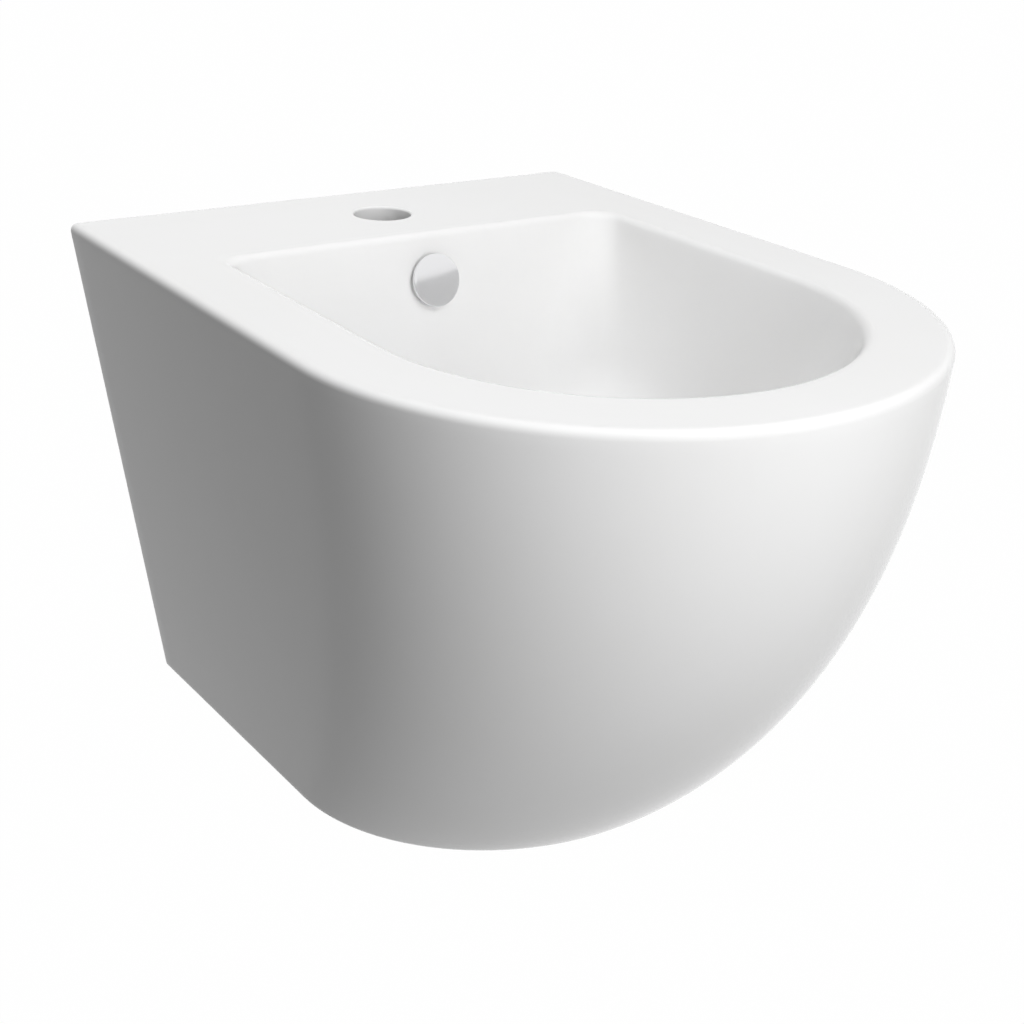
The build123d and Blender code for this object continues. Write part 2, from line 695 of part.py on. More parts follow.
# Outlet pipe: from the bottle's branch into the wall, with its insertion mark at the wall face
branch_face = Plane(origin=(0, branch_end, outlet_z), x_dir=(1, 0, 0), z_dir=(0, 1, 0))
wall_outlet = Plane(origin=(0, 0, outlet_z), x_dir=(1, 0, 0), z_dir=(0, 1, 0))
with BuildPart() as outlet_pipe:
    with BuildSketch(wall_outlet.offset(pipe_in_wall)):
        Circle(tube_radius)
        Circle(tube_radius - trap_tube_wall, mode=Mode.SUBTRACT)
    extrude(amount=-pipe_in_wall + branch_end - outlet_engagement)
    with BuildSketch(wall_outlet):
        Circle(tube_radius)
        Circle(tube_radius - insertion_mark_depth, mode=Mode.SUBTRACT)
    extrude(amount=-insertion_mark_width, mode=Mode.SUBTRACT)
outlet_pipe.part.label = "outlet_pipe"
export_step(outlet_pipe.part, "parts/outlet_pipe.step")

# Outlet seal: the ring at the mouth of the branch, round the pipe
with BuildPart() as outlet_seal:
    with BuildSketch(branch_face):
        Circle(branch_radius - thread_clearance)
        Circle(tube_radius + thread_clearance, mode=Mode.SUBTRACT)
    extrude(amount=outlet_seal_length)
outlet_seal.part.label = "outlet_seal"
export_step(outlet_seal.part, "parts/outlet_seal.step")

# Outlet nut: screwed on the branch, holding the seal against its mouth
outlet_nut_radius = branch_radius + thread_clearance + outlet_nut_wall
outlet_nut_end = outlet_seal_length + outlet_nut_wall
with BuildPart() as outlet_nut:
    with BuildSketch(branch_face.offset(outlet_nut_end)):
        Circle(outlet_nut_radius)
        with PolarLocations(outlet_nut_radius, trap_grip_count):
            Circle(trap_grip_diameter / 2, mode=Mode.SUBTRACT)
    extrude(amount=-outlet_nut_length)
    with BuildSketch(branch_face.offset(outlet_seal_length)):
        Circle(branch_radius + thread_clearance)
    extrude(amount=-outlet_nut_length, mode=Mode.SUBTRACT)
    with BuildSketch(branch_face.offset(outlet_nut_end)):
        Circle(tube_radius + thread_clearance)
    extrude(amount=-outlet_nut_length, mode=Mode.SUBTRACT)
outlet_nut.part.label = "outlet_nut"
export_step(outlet_nut.part, "parts/outlet_nut.step")

# Wall rosette: the thin cone that covers the hole in the wall round the pipe
with BuildPart() as wall_rosette:
    with BuildSketch(Plane.YZ):
        with BuildLine():
            Polyline(
                (0, outlet_z + rosette_diameter / 2),
                (0, outlet_z + rosette_diameter / 2 - rosette_wall),
                (-rosette_depth + rosette_wall, outlet_z + tube_bore + rosette_wall),
                (-rosette_depth + rosette_wall, outlet_z + tube_bore),
                (-rosette_depth, outlet_z + tube_bore),
                (-rosette_depth, outlet_z + tube_bore + rosette_wall),
                close=True,
            )
        make_face()
    revolve(axis=Axis((0, 0, outlet_z), (0, 1, 0)))
wall_rosette.part.label = "wall_rosette"
export_step(wall_rosette.part, "parts/wall_rosette.step")

# Wall fixings, each a stud with a bush, a washer and a nut inside the hollow
boss_face = back_plate + fixing_boss_length
bush_face = boss_face + bush_flange_thickness
washer_face = bush_face + washer_thickness
nut_face = washer_face + nut_height

# Fixing studs: threaded rods as plain rods, each with its insertion mark at the wall face
with BuildPart() as fixing_studs:
    with BuildSketch(Plane.XZ.offset(-stud_in_wall)):
        with Locations((-fixing_x, 0), (fixing_x, 0)):
            Circle(stud_diameter / 2)
    extrude(amount=stud_in_wall + nut_face + stud_tail)
    with BuildSketch(Plane.XZ):
        with Locations((-fixing_x, 0), (fixing_x, 0)):
            Circle(stud_diameter / 2)
            Circle(stud_diameter / 2 - insertion_mark_depth, mode=Mode.SUBTRACT)
    extrude(amount=insertion_mark_width, mode=Mode.SUBTRACT)
fixing_studs.part.label = "fixing_studs"
export_step(fixing_studs.part, "parts/fixing_studs.step")

# Fixing bushes: flanged sleeves between the studs and the fired ceramic
with BuildPart() as fixing_bushes:
    with BuildSketch(Plane.XZ.offset(boss_face)):
        with Locations((-fixing_x, 0), (fixing_x, 0)):
            Circle(bush_flange_diameter / 2)
    extrude(amount=bush_flange_thickness)
    with BuildSketch(Plane.XZ.offset(bush_setback)):
        with Locations((-fixing_x, 0), (fixing_x, 0)):
            Circle(fixing_hole_diameter / 2 - bush_clearance)
    extrude(amount=boss_face - bush_setback)
    with BuildSketch(Plane.XZ.offset(bush_setback)):
        with Locations((-fixing_x, 0), (fixing_x, 0)):
            Circle(stud_diameter / 2 + bush_clearance)
    extrude(amount=bush_face - bush_setback, mode=Mode.SUBTRACT)
fixing_bushes.part.label = "fixing_bushes"
export_step(fixing_bushes.part, "parts/fixing_bushes.step")

# Fixing washers
with BuildPart() as fixing_washers:
    with BuildSketch(Plane.XZ.offset(bush_face)):
        with Locations((-fixing_x, 0), (fixing_x, 0)):
            Circle(washer_diameter / 2)
            Circle(stud_diameter / 2 + bush_clearance, mode=Mode.SUBTRACT)
    extrude(amount=washer_thickness)
fixing_washers.part.label = "fixing_washers"
export_step(fixing_washers.part, "parts/fixing_washers.step")

# Fixing nuts
with BuildPart() as fixing_nuts:
    with BuildSketch(Plane.XZ.offset(washer_face)):
        with Locations((-fixing_x, 0), (fixing_x, 0)):
            RegularPolygon(nut_across_flats / 2, 6, major_radius=False)
            Circle(stud_diameter / 2 + thread_clearance, mode=Mode.SUBTRACT)
    extrude(amount=nut_height)
fixing_nuts.part.label = "fixing_nuts"
export_step(fixing_nuts.part, "parts/fixing_nuts.step")
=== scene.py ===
"""Looks of a wall-hung bidet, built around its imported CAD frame."""

import json
from math import cos, pi, radians, sin, sqrt, tan

import bmesh
import bpy
from bpy.props import FloatProperty, FloatVectorProperty, IntProperty, PointerProperty
from mathutils import Matrix, Vector


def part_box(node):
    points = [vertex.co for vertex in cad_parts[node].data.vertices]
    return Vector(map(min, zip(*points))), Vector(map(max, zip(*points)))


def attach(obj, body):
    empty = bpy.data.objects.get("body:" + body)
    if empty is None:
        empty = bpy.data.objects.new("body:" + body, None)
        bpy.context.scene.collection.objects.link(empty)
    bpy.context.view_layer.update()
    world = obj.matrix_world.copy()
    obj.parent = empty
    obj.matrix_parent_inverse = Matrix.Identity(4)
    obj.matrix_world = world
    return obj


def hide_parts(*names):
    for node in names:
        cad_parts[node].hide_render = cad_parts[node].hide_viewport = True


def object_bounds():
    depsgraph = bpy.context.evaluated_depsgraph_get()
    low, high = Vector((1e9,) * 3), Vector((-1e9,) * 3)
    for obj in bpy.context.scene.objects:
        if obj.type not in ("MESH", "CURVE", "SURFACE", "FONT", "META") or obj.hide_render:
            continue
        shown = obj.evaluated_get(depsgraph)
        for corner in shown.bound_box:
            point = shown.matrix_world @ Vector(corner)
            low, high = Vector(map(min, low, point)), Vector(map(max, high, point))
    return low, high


bl_info = {
    "name": "Wall-hung bidet",
    "version": (1, 0, 0),
    "blender": (4, 5, 0),
    "location": "View3D > Sidebar > Bidet",
    "description": "Dresses the frame of a wall-hung bidet: glazed body, chromed fittings, trap and fixings",
    "category": "Object",
}

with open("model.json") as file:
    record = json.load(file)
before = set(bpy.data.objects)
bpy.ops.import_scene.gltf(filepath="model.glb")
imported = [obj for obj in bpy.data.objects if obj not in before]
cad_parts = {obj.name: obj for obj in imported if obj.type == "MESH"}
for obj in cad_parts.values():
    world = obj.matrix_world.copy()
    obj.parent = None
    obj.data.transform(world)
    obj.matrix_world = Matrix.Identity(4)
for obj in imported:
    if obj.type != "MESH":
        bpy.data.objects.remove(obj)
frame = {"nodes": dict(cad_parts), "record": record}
cad_low, cad_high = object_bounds()

body_low, body_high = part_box("ceramic_body")
rim_z = body_high.z
underside_z = body_low.z
waste_low, waste_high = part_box("waste_body")
drain_y = (waste_low.y + waste_high.y) / 2
# Half of the distance between the two wall fixings
fixing_x = 0.090
# How far a cutting tool stands past the face it opens, and past the sloped underside
tool_past = 0.004
floor_past = 0.006
# Radius of the hollow's rear corners, and the least one where an edge draws the outside in
hollow_corner = 0.008
least_corner = 0.001
# Power that gathers the shell's rings towards the lower edge
ring_gather = 1.15
# Share of the rim's width that the band of faces at each of its edges takes
rim_band = 0.06
# Faces along the back, a straight side and a rear corner of each ring
back_steps = 12
side_steps = 22
corner_steps = 8
# Faces across the body's small edges, its rim, the bowl's edge, wall, floor and dish
edge_steps = 5
rim_steps = 8
bowl_edge_steps = 7
wall_steps = 14
floor_steps = 3
dish_steps = 8
# Rings of the tools that hollow the body
hollow_steps = 24
# Faces round a hole, a turned piece, a chromed piece and a stud
hole_points = 72
turned_points = 96
chrome_points = 128
stud_points = 64
# Angle in degrees past which an edge is drawn sharp
crease = 35
# Middle of a two-step edge, as a share of its radius
edge_middle = 0.3
# Radius of the face that closes the plug's socket and the cup, as a share of the whole
socket_end = 0.1
cup_end = 0.01
# Waste's thread, as a share of the slip washer's radius
waste_thread = 0.7276
# Gap between the trap's nuts and the tubes they hold
tube_gap = 0.0003
# Share of a nut's height that its ribs leave free at each end
rib_margin = 0.1
# Height and middle of the cup's ribs, as shares of its own height
cup_rib_height = 0.75
cup_rib_middle = 0.52
# Parts of a rib's radius by which the nuts stand inside it, and the ribs inside the nuts
rib_stand = 0.7
rib_sink = 0.3
# How far a hexagon nut's round face lies inside its flats, and the slope of its bevel in degrees
nut_face_inset = 0.0002
nut_bevel = 30


def size(name, description, default):
    """A length that a user may change, in metres."""
    return FloatProperty(name=name, description=description, default=default, unit="LENGTH", precision=4)


def count(name, description, default):
    """A number of copies or divisions."""
    return IntProperty(name=name, description=description, default=default, min=1)


def angle(name, description, degrees):
    """An angle that a user may change."""
    return FloatProperty(name=name, description=description, default=radians(degrees), subtype="ANGLE")


def factor(name, description, default):
    """A plain number without a unit."""
    return FloatProperty(name=name, description=description, default=default)


def colour(name, description, default):
    """A surface colour."""
    return FloatVectorProperty(
        name=name, description=description, default=default, subtype="COLOR", min=0, max=1,
    )


class BidetBody(bpy.types.PropertyGroup):
    """Sizes of the glazed body."""

    width: size("Width", "Body's width at the rim", 0.360)
    depth: size("Depth", "Wall to front at the rim", 0.465)
    height: size("Height", "Underside at the wall to the rim", 0.312)
    bottom_width: size("Underside width", "Body's width at the underside", 0.2752)
    bottom_depth: size("Underside depth", "Wall to front at the underside", 0.331)
    top_straight: size("Straight side at the rim", "Length of the straight sides at the rim", 0.287)
    bottom_straight: size("Straight side below", "Length of the straight sides at the underside", 0.203)
    curve_down: factor("Front curve, down", "Power of the front's curve along the height", 2.24)
    curve_out: factor("Front curve, out", "Power of the front's curve along the depth", 1.08)
    underside_rise: factor("Underside rise", "Slope of the underside towards the front", 0.04)
    rim_radius: size("Rim edge", "Radius of the rim's outer edge", 0.005)
    lower_radius: size("Lower edge", "Radius of the glazed lower edge", 0.003)
    corner_radius: size("Rear corners", "Radius of the rear upright corners", 0.006)
    bowl_width: size("Bowl width", "Bowl's width at the rim", 0.275)
    bowl_rear: size("Bowl rear", "Wall to the bowl's rear edge", 0.1105)
    bowl_front: size("Bowl front", "Wall to the bowl's front edge", 0.426)
    bowl_straight: size("Bowl straight", "Wall to the end of the bowl's straight sides at the rim", 0.2845)
    bowl_floor_straight: size("Bowl floor straight", "The same at the bowl's floor", 0.236)
    bowl_depth: size("Bowl depth", "Rim to the bowl's floor", 0.130)
    bowl_edge: size("Bowl edge", "Radius between the rim and the bowl", 0.005)
    bowl_floor_radius: size("Bowl floor radius", "Radius between the bowl's walls and its floor", 0.045)
    bowl_corner: size("Bowl corner", "Radius of the bowl's rear corners at the rim", 0.017)
    bowl_floor_corner: size("Bowl floor corner", "Radius of the bowl's rear corners at its floor", 0.046)
    side_draft: angle("Side draft", "Lean of the bowl's side walls", 14)
    rear_draft: angle("Rear draft", "Lean of the bowl's rear wall", 12)
    front_draft: angle("Front draft", "Lean of the bowl's front wall", 22)
    dish_radius: size("Dish radius", "Radius of the dish round the drain", 0.047)
    dish_depth: size("Dish depth", "Depth of the dish round the drain", 0.006)
    wall: size("Shell wall", "Thickness of the outer shell", 0.011)
    bowl_wall: size("Bowl wall", "Thickness of the bowl's walls", 0.010)
    deck: size("Deck", "Thickness of the rim and the rear deck", 0.014)
    back_plate: size("Back plate", "Thickness of the back", 0.016)
    floor: size("Floor", "Thickness of the underside", 0.012)
    tap_radius: size("Tap hole", "Radius of the tap hole", 0.01775)
    tap_setback: size("Tap hole setback", "Wall to the tap hole's middle", 0.0604)
    hole_edge: size("Hole edges", "Radius of the glazed edges of the holes", 0.0016)
    overflow_radius: size("Overflow hole", "Radius of the overflow hole", 0.012)
    overflow_drop: size("Overflow drop", "Rim to the overflow hole's middle", 0.0277)
    channel_depth: size("Channel depth", "Front to back of the overflow channel", 0.012)
    channel_width: size("Channel width", "Side to side of the overflow channel", 0.024)
    channel_wall: size("Channel wall", "Thickness round the overflow channel", 0.007)
    channel_head: size("Channel head", "Room in the channel above the overflow hole", 0.001)
    channel_run: size("Channel run", "Length of the channel's straight part", 0.066)
    channel_turn: size("Channel turn", "Wall to the channel's lower turn", 0.142)
    gallery_level: size("Gallery level", "Height of the channel's lower end", -0.064)
    drain_radius: size("Drain hole", "Radius of the drain hole", 0.023)
    land_radius: size("Drain land", "Radius of the land under the drain", 0.040)
    boss_radius: size("Fixing bosses", "Radius of the bosses round the wall fixings", 0.023)
    boss_reach: size("Boss reach", "Wall to the face of the bosses", 0.040)
    fixing_radius: size("Fixing holes", "Radius of the holes for the wall fixings", 0.010)
    service_half: size("Service half width", "Half of the service openings' width", 0.080)
    service_top: size("Service top", "Origin down to the back opening's top", 0.055)
    service_reach: size("Service reach", "Wall to the front of the opening underneath", 0.280)
    service_corner: size("Service corner", "Radius of the service openings' corners", 0.025)
    service_edge: size("Service edge", "Radius of the service openings' edges", 0.003)
    shell_rings: count("Shell rings", "Rings of faces up the outside", 56)
    front_points: count("Front points", "Points round the front of each ring", 96)


def ring(half_width, straight, reach, back, corner, body, tilt, level):
    """A D-shaped ring of points, clockwise from the middle of the back, seen from above."""
    points = []
    for step in range(back_steps):
        points.append(((half_width - corner) * step / back_steps, back))
    for step in range(corner_steps):
        turn = pi / 2 * step / corner_steps
        points.append((half_width - corner + corner * sin(turn), back - corner + corner * cos(turn)))
    start = back - corner
    for step in range(side_steps):
        points.append((half_width, start + (-straight - start) * step / side_steps))
    for step in range(body.front_points // 2 + 1):
        turn = pi / 2 * step / (body.front_points // 2)
        points.append((half_width * cos(turn), -straight - (reach - straight) * sin(turn)))
    mirrored = [(-x, y) for x, y in reversed(points[1:-1])]
    lean = sqrt(1 + tilt * tilt)
    return [Vector((x, y / lean, level - tilt * y / lean)) for x, y in points + mirrored]


def shell_ring(body, height, inset, back, corner):
    """A ring of the body's outside at a height above the underside, drawn in by inset."""
    share = min(max(height / body.height, 0.0), 1.0)
    out = (1 - (1 - share) ** body.curve_down) ** (1 / body.curve_out)
    half_width = body.bottom_width / 2 + (body.width - body.bottom_width) / 2 * share - inset
    straight = body.bottom_straight + (body.top_straight - body.bottom_straight) * out
    reach = body.bottom_depth + (body.depth - body.bottom_depth) * out - inset
    tilt = body.underside_rise * (1 - share)
    return ring(half_width, straight, reach, back, corner, body, tilt, underside_z + height)


def edge_ring(body, height, inset):
    """A ring of the outside where a rounded edge draws it in on every side."""
    return shell_ring(body, height, inset, -inset, max(body.corner_radius - inset, least_corner))


def wall_place(start, draft, depth, edge):
    """Distance of a bowl wall from the axis at a depth below the rim, with its rounded edge."""
    corner = start - edge * (1 - tan(draft))
    if 0 <= depth < edge:
        reach = sqrt(edge * edge - (edge - depth) ** 2)
        if reach < edge * cos(draft):
            return corner + edge * tan((pi / 2 - draft) / 2) - reach
    return corner - tan(draft) * depth


def bowl_ring(body, depth, rounding, grow=0.0):
    """A ring of the bowl's wall at a depth below the rim, or with grow of its outside."""
    side = wall_place(body.bowl_width / 2, body.side_draft, depth, body.bowl_edge) - rounding + grow
    rear = wall_place(-body.bowl_rear, body.rear_draft, depth, body.bowl_edge) - rounding + grow
    front = wall_place(body.bowl_front, body.front_draft, depth, body.bowl_edge) - rounding + grow
    share = depth / body.bowl_depth
    straight = body.bowl_straight + (body.bowl_floor_straight - body.bowl_straight) * share
    corner = body.bowl_corner + (body.bowl_floor_corner - body.bowl_corner) * share + grow
    level = rim_z - depth * (1 + grow / body.bowl_depth)
    return ring(side, straight, front, rear, corner, body, 0.0, level)


def bowl_floor_rings(body, steps, grow=0.0):
    """Rings of the bowl's wall as it rounds into the floor."""
    start = body.bowl_depth - body.bowl_floor_radius
    made = []
    for step in range(1, steps + 1):
        turn = pi / 2 * step / steps
        rounding = body.bowl_floor_radius * (1 - cos(turn))
        made.append(bowl_ring(body, start + body.bowl_floor_radius * sin(turn), rounding, grow))
    return made


def blend(first, second, steps):
    """Rings between two rings, neither of them included."""
    made = []
    for step in range(1, steps):
        share = step / steps
        made.append([a.lerp(b, share) for a, b in zip(first, second)])
    return made


def circle_like(points, radius, level, centre_y):
    """A circle whose points lie in the same directions from the drain as a ring's."""
    made = []
    for point in points:
        away = Vector((point.x, point.y - centre_y))
        away = away.normalized() * radius
        made.append(Vector((away.x, centre_y + away.y, level)))
    return made


def mesh_of_rings(name, rings, capped=True):
    """A closed mesh of faces between rings with as many points each."""
    made = bmesh.new()
    rows = [[made.verts.new(point) for point in points] for points in rings]
    around = len(rows[0])
    for low, high in zip(rows, rows[1:]):
        for index in range(around):
            after = (index + 1) % around
            made.faces.new((low[index], low[after], high[after], high[index]))
    if capped:
        made.faces.new(reversed(rows[0]))
        made.faces.new(rows[-1])
    bmesh.ops.recalc_face_normals(made, faces=made.faces)
    mesh = bpy.data.meshes.new(name)
    made.to_mesh(mesh)
    made.free()
    piece = bpy.data.objects.new(name, mesh)
    bpy.context.scene.collection.objects.link(piece)
    return piece


def cut(piece, tools):
    """Cuts all the tools out of a piece at once, and deletes them."""
    held = bpy.data.collections.new("tools")
    for tool in tools:
        held.objects.link(tool)
    step = piece.modifiers.new("cut", "BOOLEAN")
    step.operation = "DIFFERENCE"
    step.solver = "EXACT"
    step.operand_type = "COLLECTION"
    step.collection = held
    step.material_mode = "TRANSFER"
    bpy.context.view_layer.update()
    evaluated = piece.evaluated_get(bpy.context.evaluated_depsgraph_get())
    mesh = bpy.data.meshes.new_from_object(evaluated)
    piece.modifiers.clear()
    piece.data = mesh
    for tool in tools:
        bpy.data.objects.remove(tool)
    bpy.data.collections.remove(held)
    return piece


def plain_material(name, base, roughness, metallic=0.0):
    """A material with its Principled shader, ready for a procedural finish."""
    material = bpy.data.materials.new(name)
    material.use_nodes = True
    shader = material.node_tree.nodes["Principled BSDF"]
    shader.inputs["Base Color"].default_value = (*base, 1)
    shader.inputs["Roughness"].default_value = roughness
    shader.inputs["Metallic"].default_value = metallic
    return material


def circle(centre, axis_a, axis_b, radius):
    """A circle of points."""
    turns = [2 * pi * step / hole_points for step in range(hole_points)]
    return [centre + axis_a * (radius * cos(turn)) + axis_b * (radius * sin(turn)) for turn in turns]


def rounded_rectangle(centre, axis_a, axis_b, half_a, half_b, radius):
    """The points of a rectangle with round corners."""
    points = []
    for quarter, (sign_a, sign_b) in enumerate([(1, 1), (-1, 1), (-1, -1), (1, -1)]):
        for step in range(corner_steps + 1):
            turn = pi / 2 * (quarter + step / corner_steps)
            a = sign_a * (half_a - radius) + radius * cos(turn)
            b = sign_b * (half_b - radius) + radius * sin(turn)
            points.append(centre + axis_a * a + axis_b * b)
    return points


def flared_cutter(name, outline_at, inwards, depth, edge):
    """A tool for a hole with a rounded mouth: outline_at gives its outline, grown by a length."""
    rings = [[point + inwards * depth for point in outline_at(0.0)]]
    for step in range(edge_steps + 1):
        turn = pi / 2 * step / edge_steps
        along = edge * (1 - sin(turn))
        rings.append([point + inwards * along for point in outline_at(edge * (1 - cos(turn)))])
    rings.append([point - inwards * tool_past for point in outline_at(edge)])
    return mesh_of_rings(name, rings)


def band(points, width):
    """The outline of a band of a width along a line of (y, z) points, with mitred corners."""
    one, other = [], []
    for index, point in enumerate(points):
        before = (points[index] - points[index - 1]).normalized() if index else None
        after = (points[index + 1] - points[index]).normalized() if index + 1 < len(points) else None
        before, after = before or after, after or before
        across = Vector((-before.y - after.y, before.x + after.x)).normalized()
        reach = width / 2 / across.dot(Vector((-before.y, before.x)))
        one.append(point + across * reach)
        other.append(point - across * reach)
    return one + other[::-1]


def across_prism(name, outline, half):
    """A prism of a (y, z) outline, as far to each side of the middle."""
    sides = [[Vector((x, point.x, point.y)) for point in outline] for x in (-half, half)]
    return mesh_of_rings(name, sides)


def ways_round(axis, segments):
    """An axis at length 1, and pairs of a turn and its direction round the axis."""
    up = axis.normalized()
    side = up.orthogonal().normalized()
    across = up.cross(side)
    turns = [2 * pi * step / segments for step in range(segments)]
    return up, [(turn, side * cos(turn) + across * sin(turn)) for turn in turns]


def turned(name, profile, origin, axis, segments=turned_points, closed=False):
    """A body of revolution: profile holds (distance along the axis, radius) pairs."""
    up, ways = ways_round(axis, segments)
    rings = [[origin + up * along + way * radius for turn, way in ways] for along, radius in profile]
    if closed:
        rings.append(rings[0])
        return welded(mesh_of_rings(name, rings, False))
    return mesh_of_rings(name, rings)


def welded(piece):
    """Merges points that lie in one place."""
    made = bmesh.new()
    made.from_mesh(piece.data)
    bmesh.ops.remove_doubles(made, verts=made.verts, dist=1e-6)
    bmesh.ops.recalc_face_normals(made, faces=made.faces)
    made.to_mesh(piece.data)
    made.free()
    return piece


def smooth(piece):
    """Smooth shading with sharp edges past the crease angle."""
    piece.data.shade_smooth()
    piece.data.set_sharp_from_angle(angle=radians(crease))


def channel_route(body, above):
    """The overflow channel's centre line as (y, z), from a length above the overflow hole."""
    lean = body.rear_draft
    up = Vector((sin(lean), cos(lean)))
    hole = overflow_middle(body)
    behind = body.bowl_wall + body.channel_depth / 2
    start = Vector((hole.y, hole.z)) + Vector((cos(lean), -sin(lean))) * behind
    return [
        start + up * above,
        start - up * body.channel_run,
        Vector((-body.channel_turn, body.gallery_level)),
        Vector((drain_y + body.drain_radius / 2, body.gallery_level)),
    ]


def overflow_middle(body):
    """The middle of the overflow hole on the bowl's rear wall."""
    start = body.bowl_rear + body.bowl_edge * (1 - tan(body.rear_draft))
    return Vector((0, -start - tan(body.rear_draft) * body.overflow_drop, rim_z - body.overflow_drop))


def body_hollow(body):
    """The hollow between the shell and the bowl, less what stands in it."""
    steps = hollow_steps
    low, high = body.floor, body.height - body.deck
    heights = [low + (high - low) * step / steps for step in range(steps + 1)]
    rings = [shell_ring(body, height, body.wall, -body.back_plate, hollow_corner) for height in heights]
    hollow = mesh_of_rings("hollow", rings)
    round_start = body.bowl_depth - body.bowl_floor_radius
    depths = [-tool_past + (round_start + tool_past) * step / steps for step in range(steps + 1)]
    rings = [bowl_ring(body, depth, 0.0, body.bowl_wall) for depth in depths]
    rings += bowl_floor_rings(body, steps, body.bowl_wall)
    bowl = mesh_of_rings("bowl_outside", rings)
    seat = rim_z - body.bowl_depth - body.dish_depth
    land_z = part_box("land_gasket")[1].z
    drain = Vector((0, drain_y, 0))
    profile = [(land_z, body.land_radius), (seat, body.land_radius)]
    land = turned("land", profile, drain, Vector((0, 0, 1)))
    bosses = []
    for side in (-1, 1):
        middle = Vector((side * fixing_x, 0, 0))
        profile = [(0, body.boss_radius), (body.boss_reach, body.boss_radius)]
        bosses.append(turned("boss", profile, middle, Vector((0, -1, 0))))
    head = body.overflow_radius + body.channel_wall
    route = band(channel_route(body, head), body.channel_depth + 2 * body.channel_wall)
    jacket = across_prism("jacket", route, body.channel_width / 2 + body.channel_wall)
    hollow.data.materials.append(bpy.data.materials["bare_ceramic"])
    return cut(hollow, [bowl, land, *bosses, jacket])


def round_hole(name, middle, axis_a, axis_b, radius, inwards, depth, edge):
    """A tool for a round hole with a rounded mouth."""
    return flared_cutter(
        name, lambda grow: circle(middle, axis_a, axis_b, radius + grow), inwards, depth, edge,
    )


def service_hole(name, body, middle, along, long, inwards, depth):
    """A tool for a service opening, as wide as the other one and as long as given."""
    across, half, corner = Vector((1, 0, 0)), body.service_half, body.service_corner
    return flared_cutter(
        name,
        lambda grow: rounded_rectangle(
            middle, across, along, half + grow, long / 2 + grow, corner + grow),
        inwards, depth, body.service_edge,
    )


def body_holes(body):
    """The tools for the tap hole, overflow, drain, wall fixings and service openings."""
    across, forward, up = Vector((1, 0, 0)), Vector((0, -1, 0)), Vector((0, 0, 1))
    tap = Vector((0, -body.tap_setback, rim_z))
    tools = [round_hole(
        "tap_hole", tap, across, forward, body.tap_radius, -up, body.deck + tool_past, body.hole_edge,
    )]
    lean = body.rear_draft
    along = Vector((0, sin(lean), cos(lean)))
    into = Vector((0, cos(lean), -sin(lean)))
    tools.append(round_hole(
        "overflow_hole", overflow_middle(body), across, along, body.overflow_radius, into,
        body.bowl_wall + body.channel_depth / 2, body.hole_edge,
    ))
    route = band(channel_route(body, body.overflow_radius + body.channel_head), body.channel_depth)
    tools.append(across_prism("channel", route, body.channel_width / 2))
    land_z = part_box("land_gasket")[1].z
    profile = [(land_z - tool_past, body.drain_radius), (rim_z - body.bowl_depth, body.drain_radius)]
    tools.append(turned("drain_hole", profile, Vector((0, drain_y, 0)), up))
    for side in (-1, 1):
        tools.append(round_hole(
            "fixing_hole", Vector((side * fixing_x, 0, 0)), across, up, body.fixing_radius,
            forward, body.boss_reach + tool_past, body.hole_edge,
        ))
    # Service openings: one in the back, one underneath, run together at the wall
    corner = body.service_corner
    tall = -body.service_top - underside_z + corner + tool_past
    middle_back = Vector((0, 0, -body.service_top - tall / 2))
    tools.append(service_hole(
        "service_back", body, middle_back, up, tall, forward, body.back_plate + tool_past,
    ))
    tilt = body.underside_rise
    sloped = Vector((0, 1, -tilt)).normalized()
    inwards = Vector((0, tilt, 1)).normalized()
    long = body.service_reach + corner + tool_past
    middle_under = Vector((0, 0, underside_z)) - sloped * (long / 2 - corner - tool_past)
    tools.append(service_hole(
        "service_under", body, middle_under, sloped, long, inwards, body.floor + floor_past,
    ))
    return tools


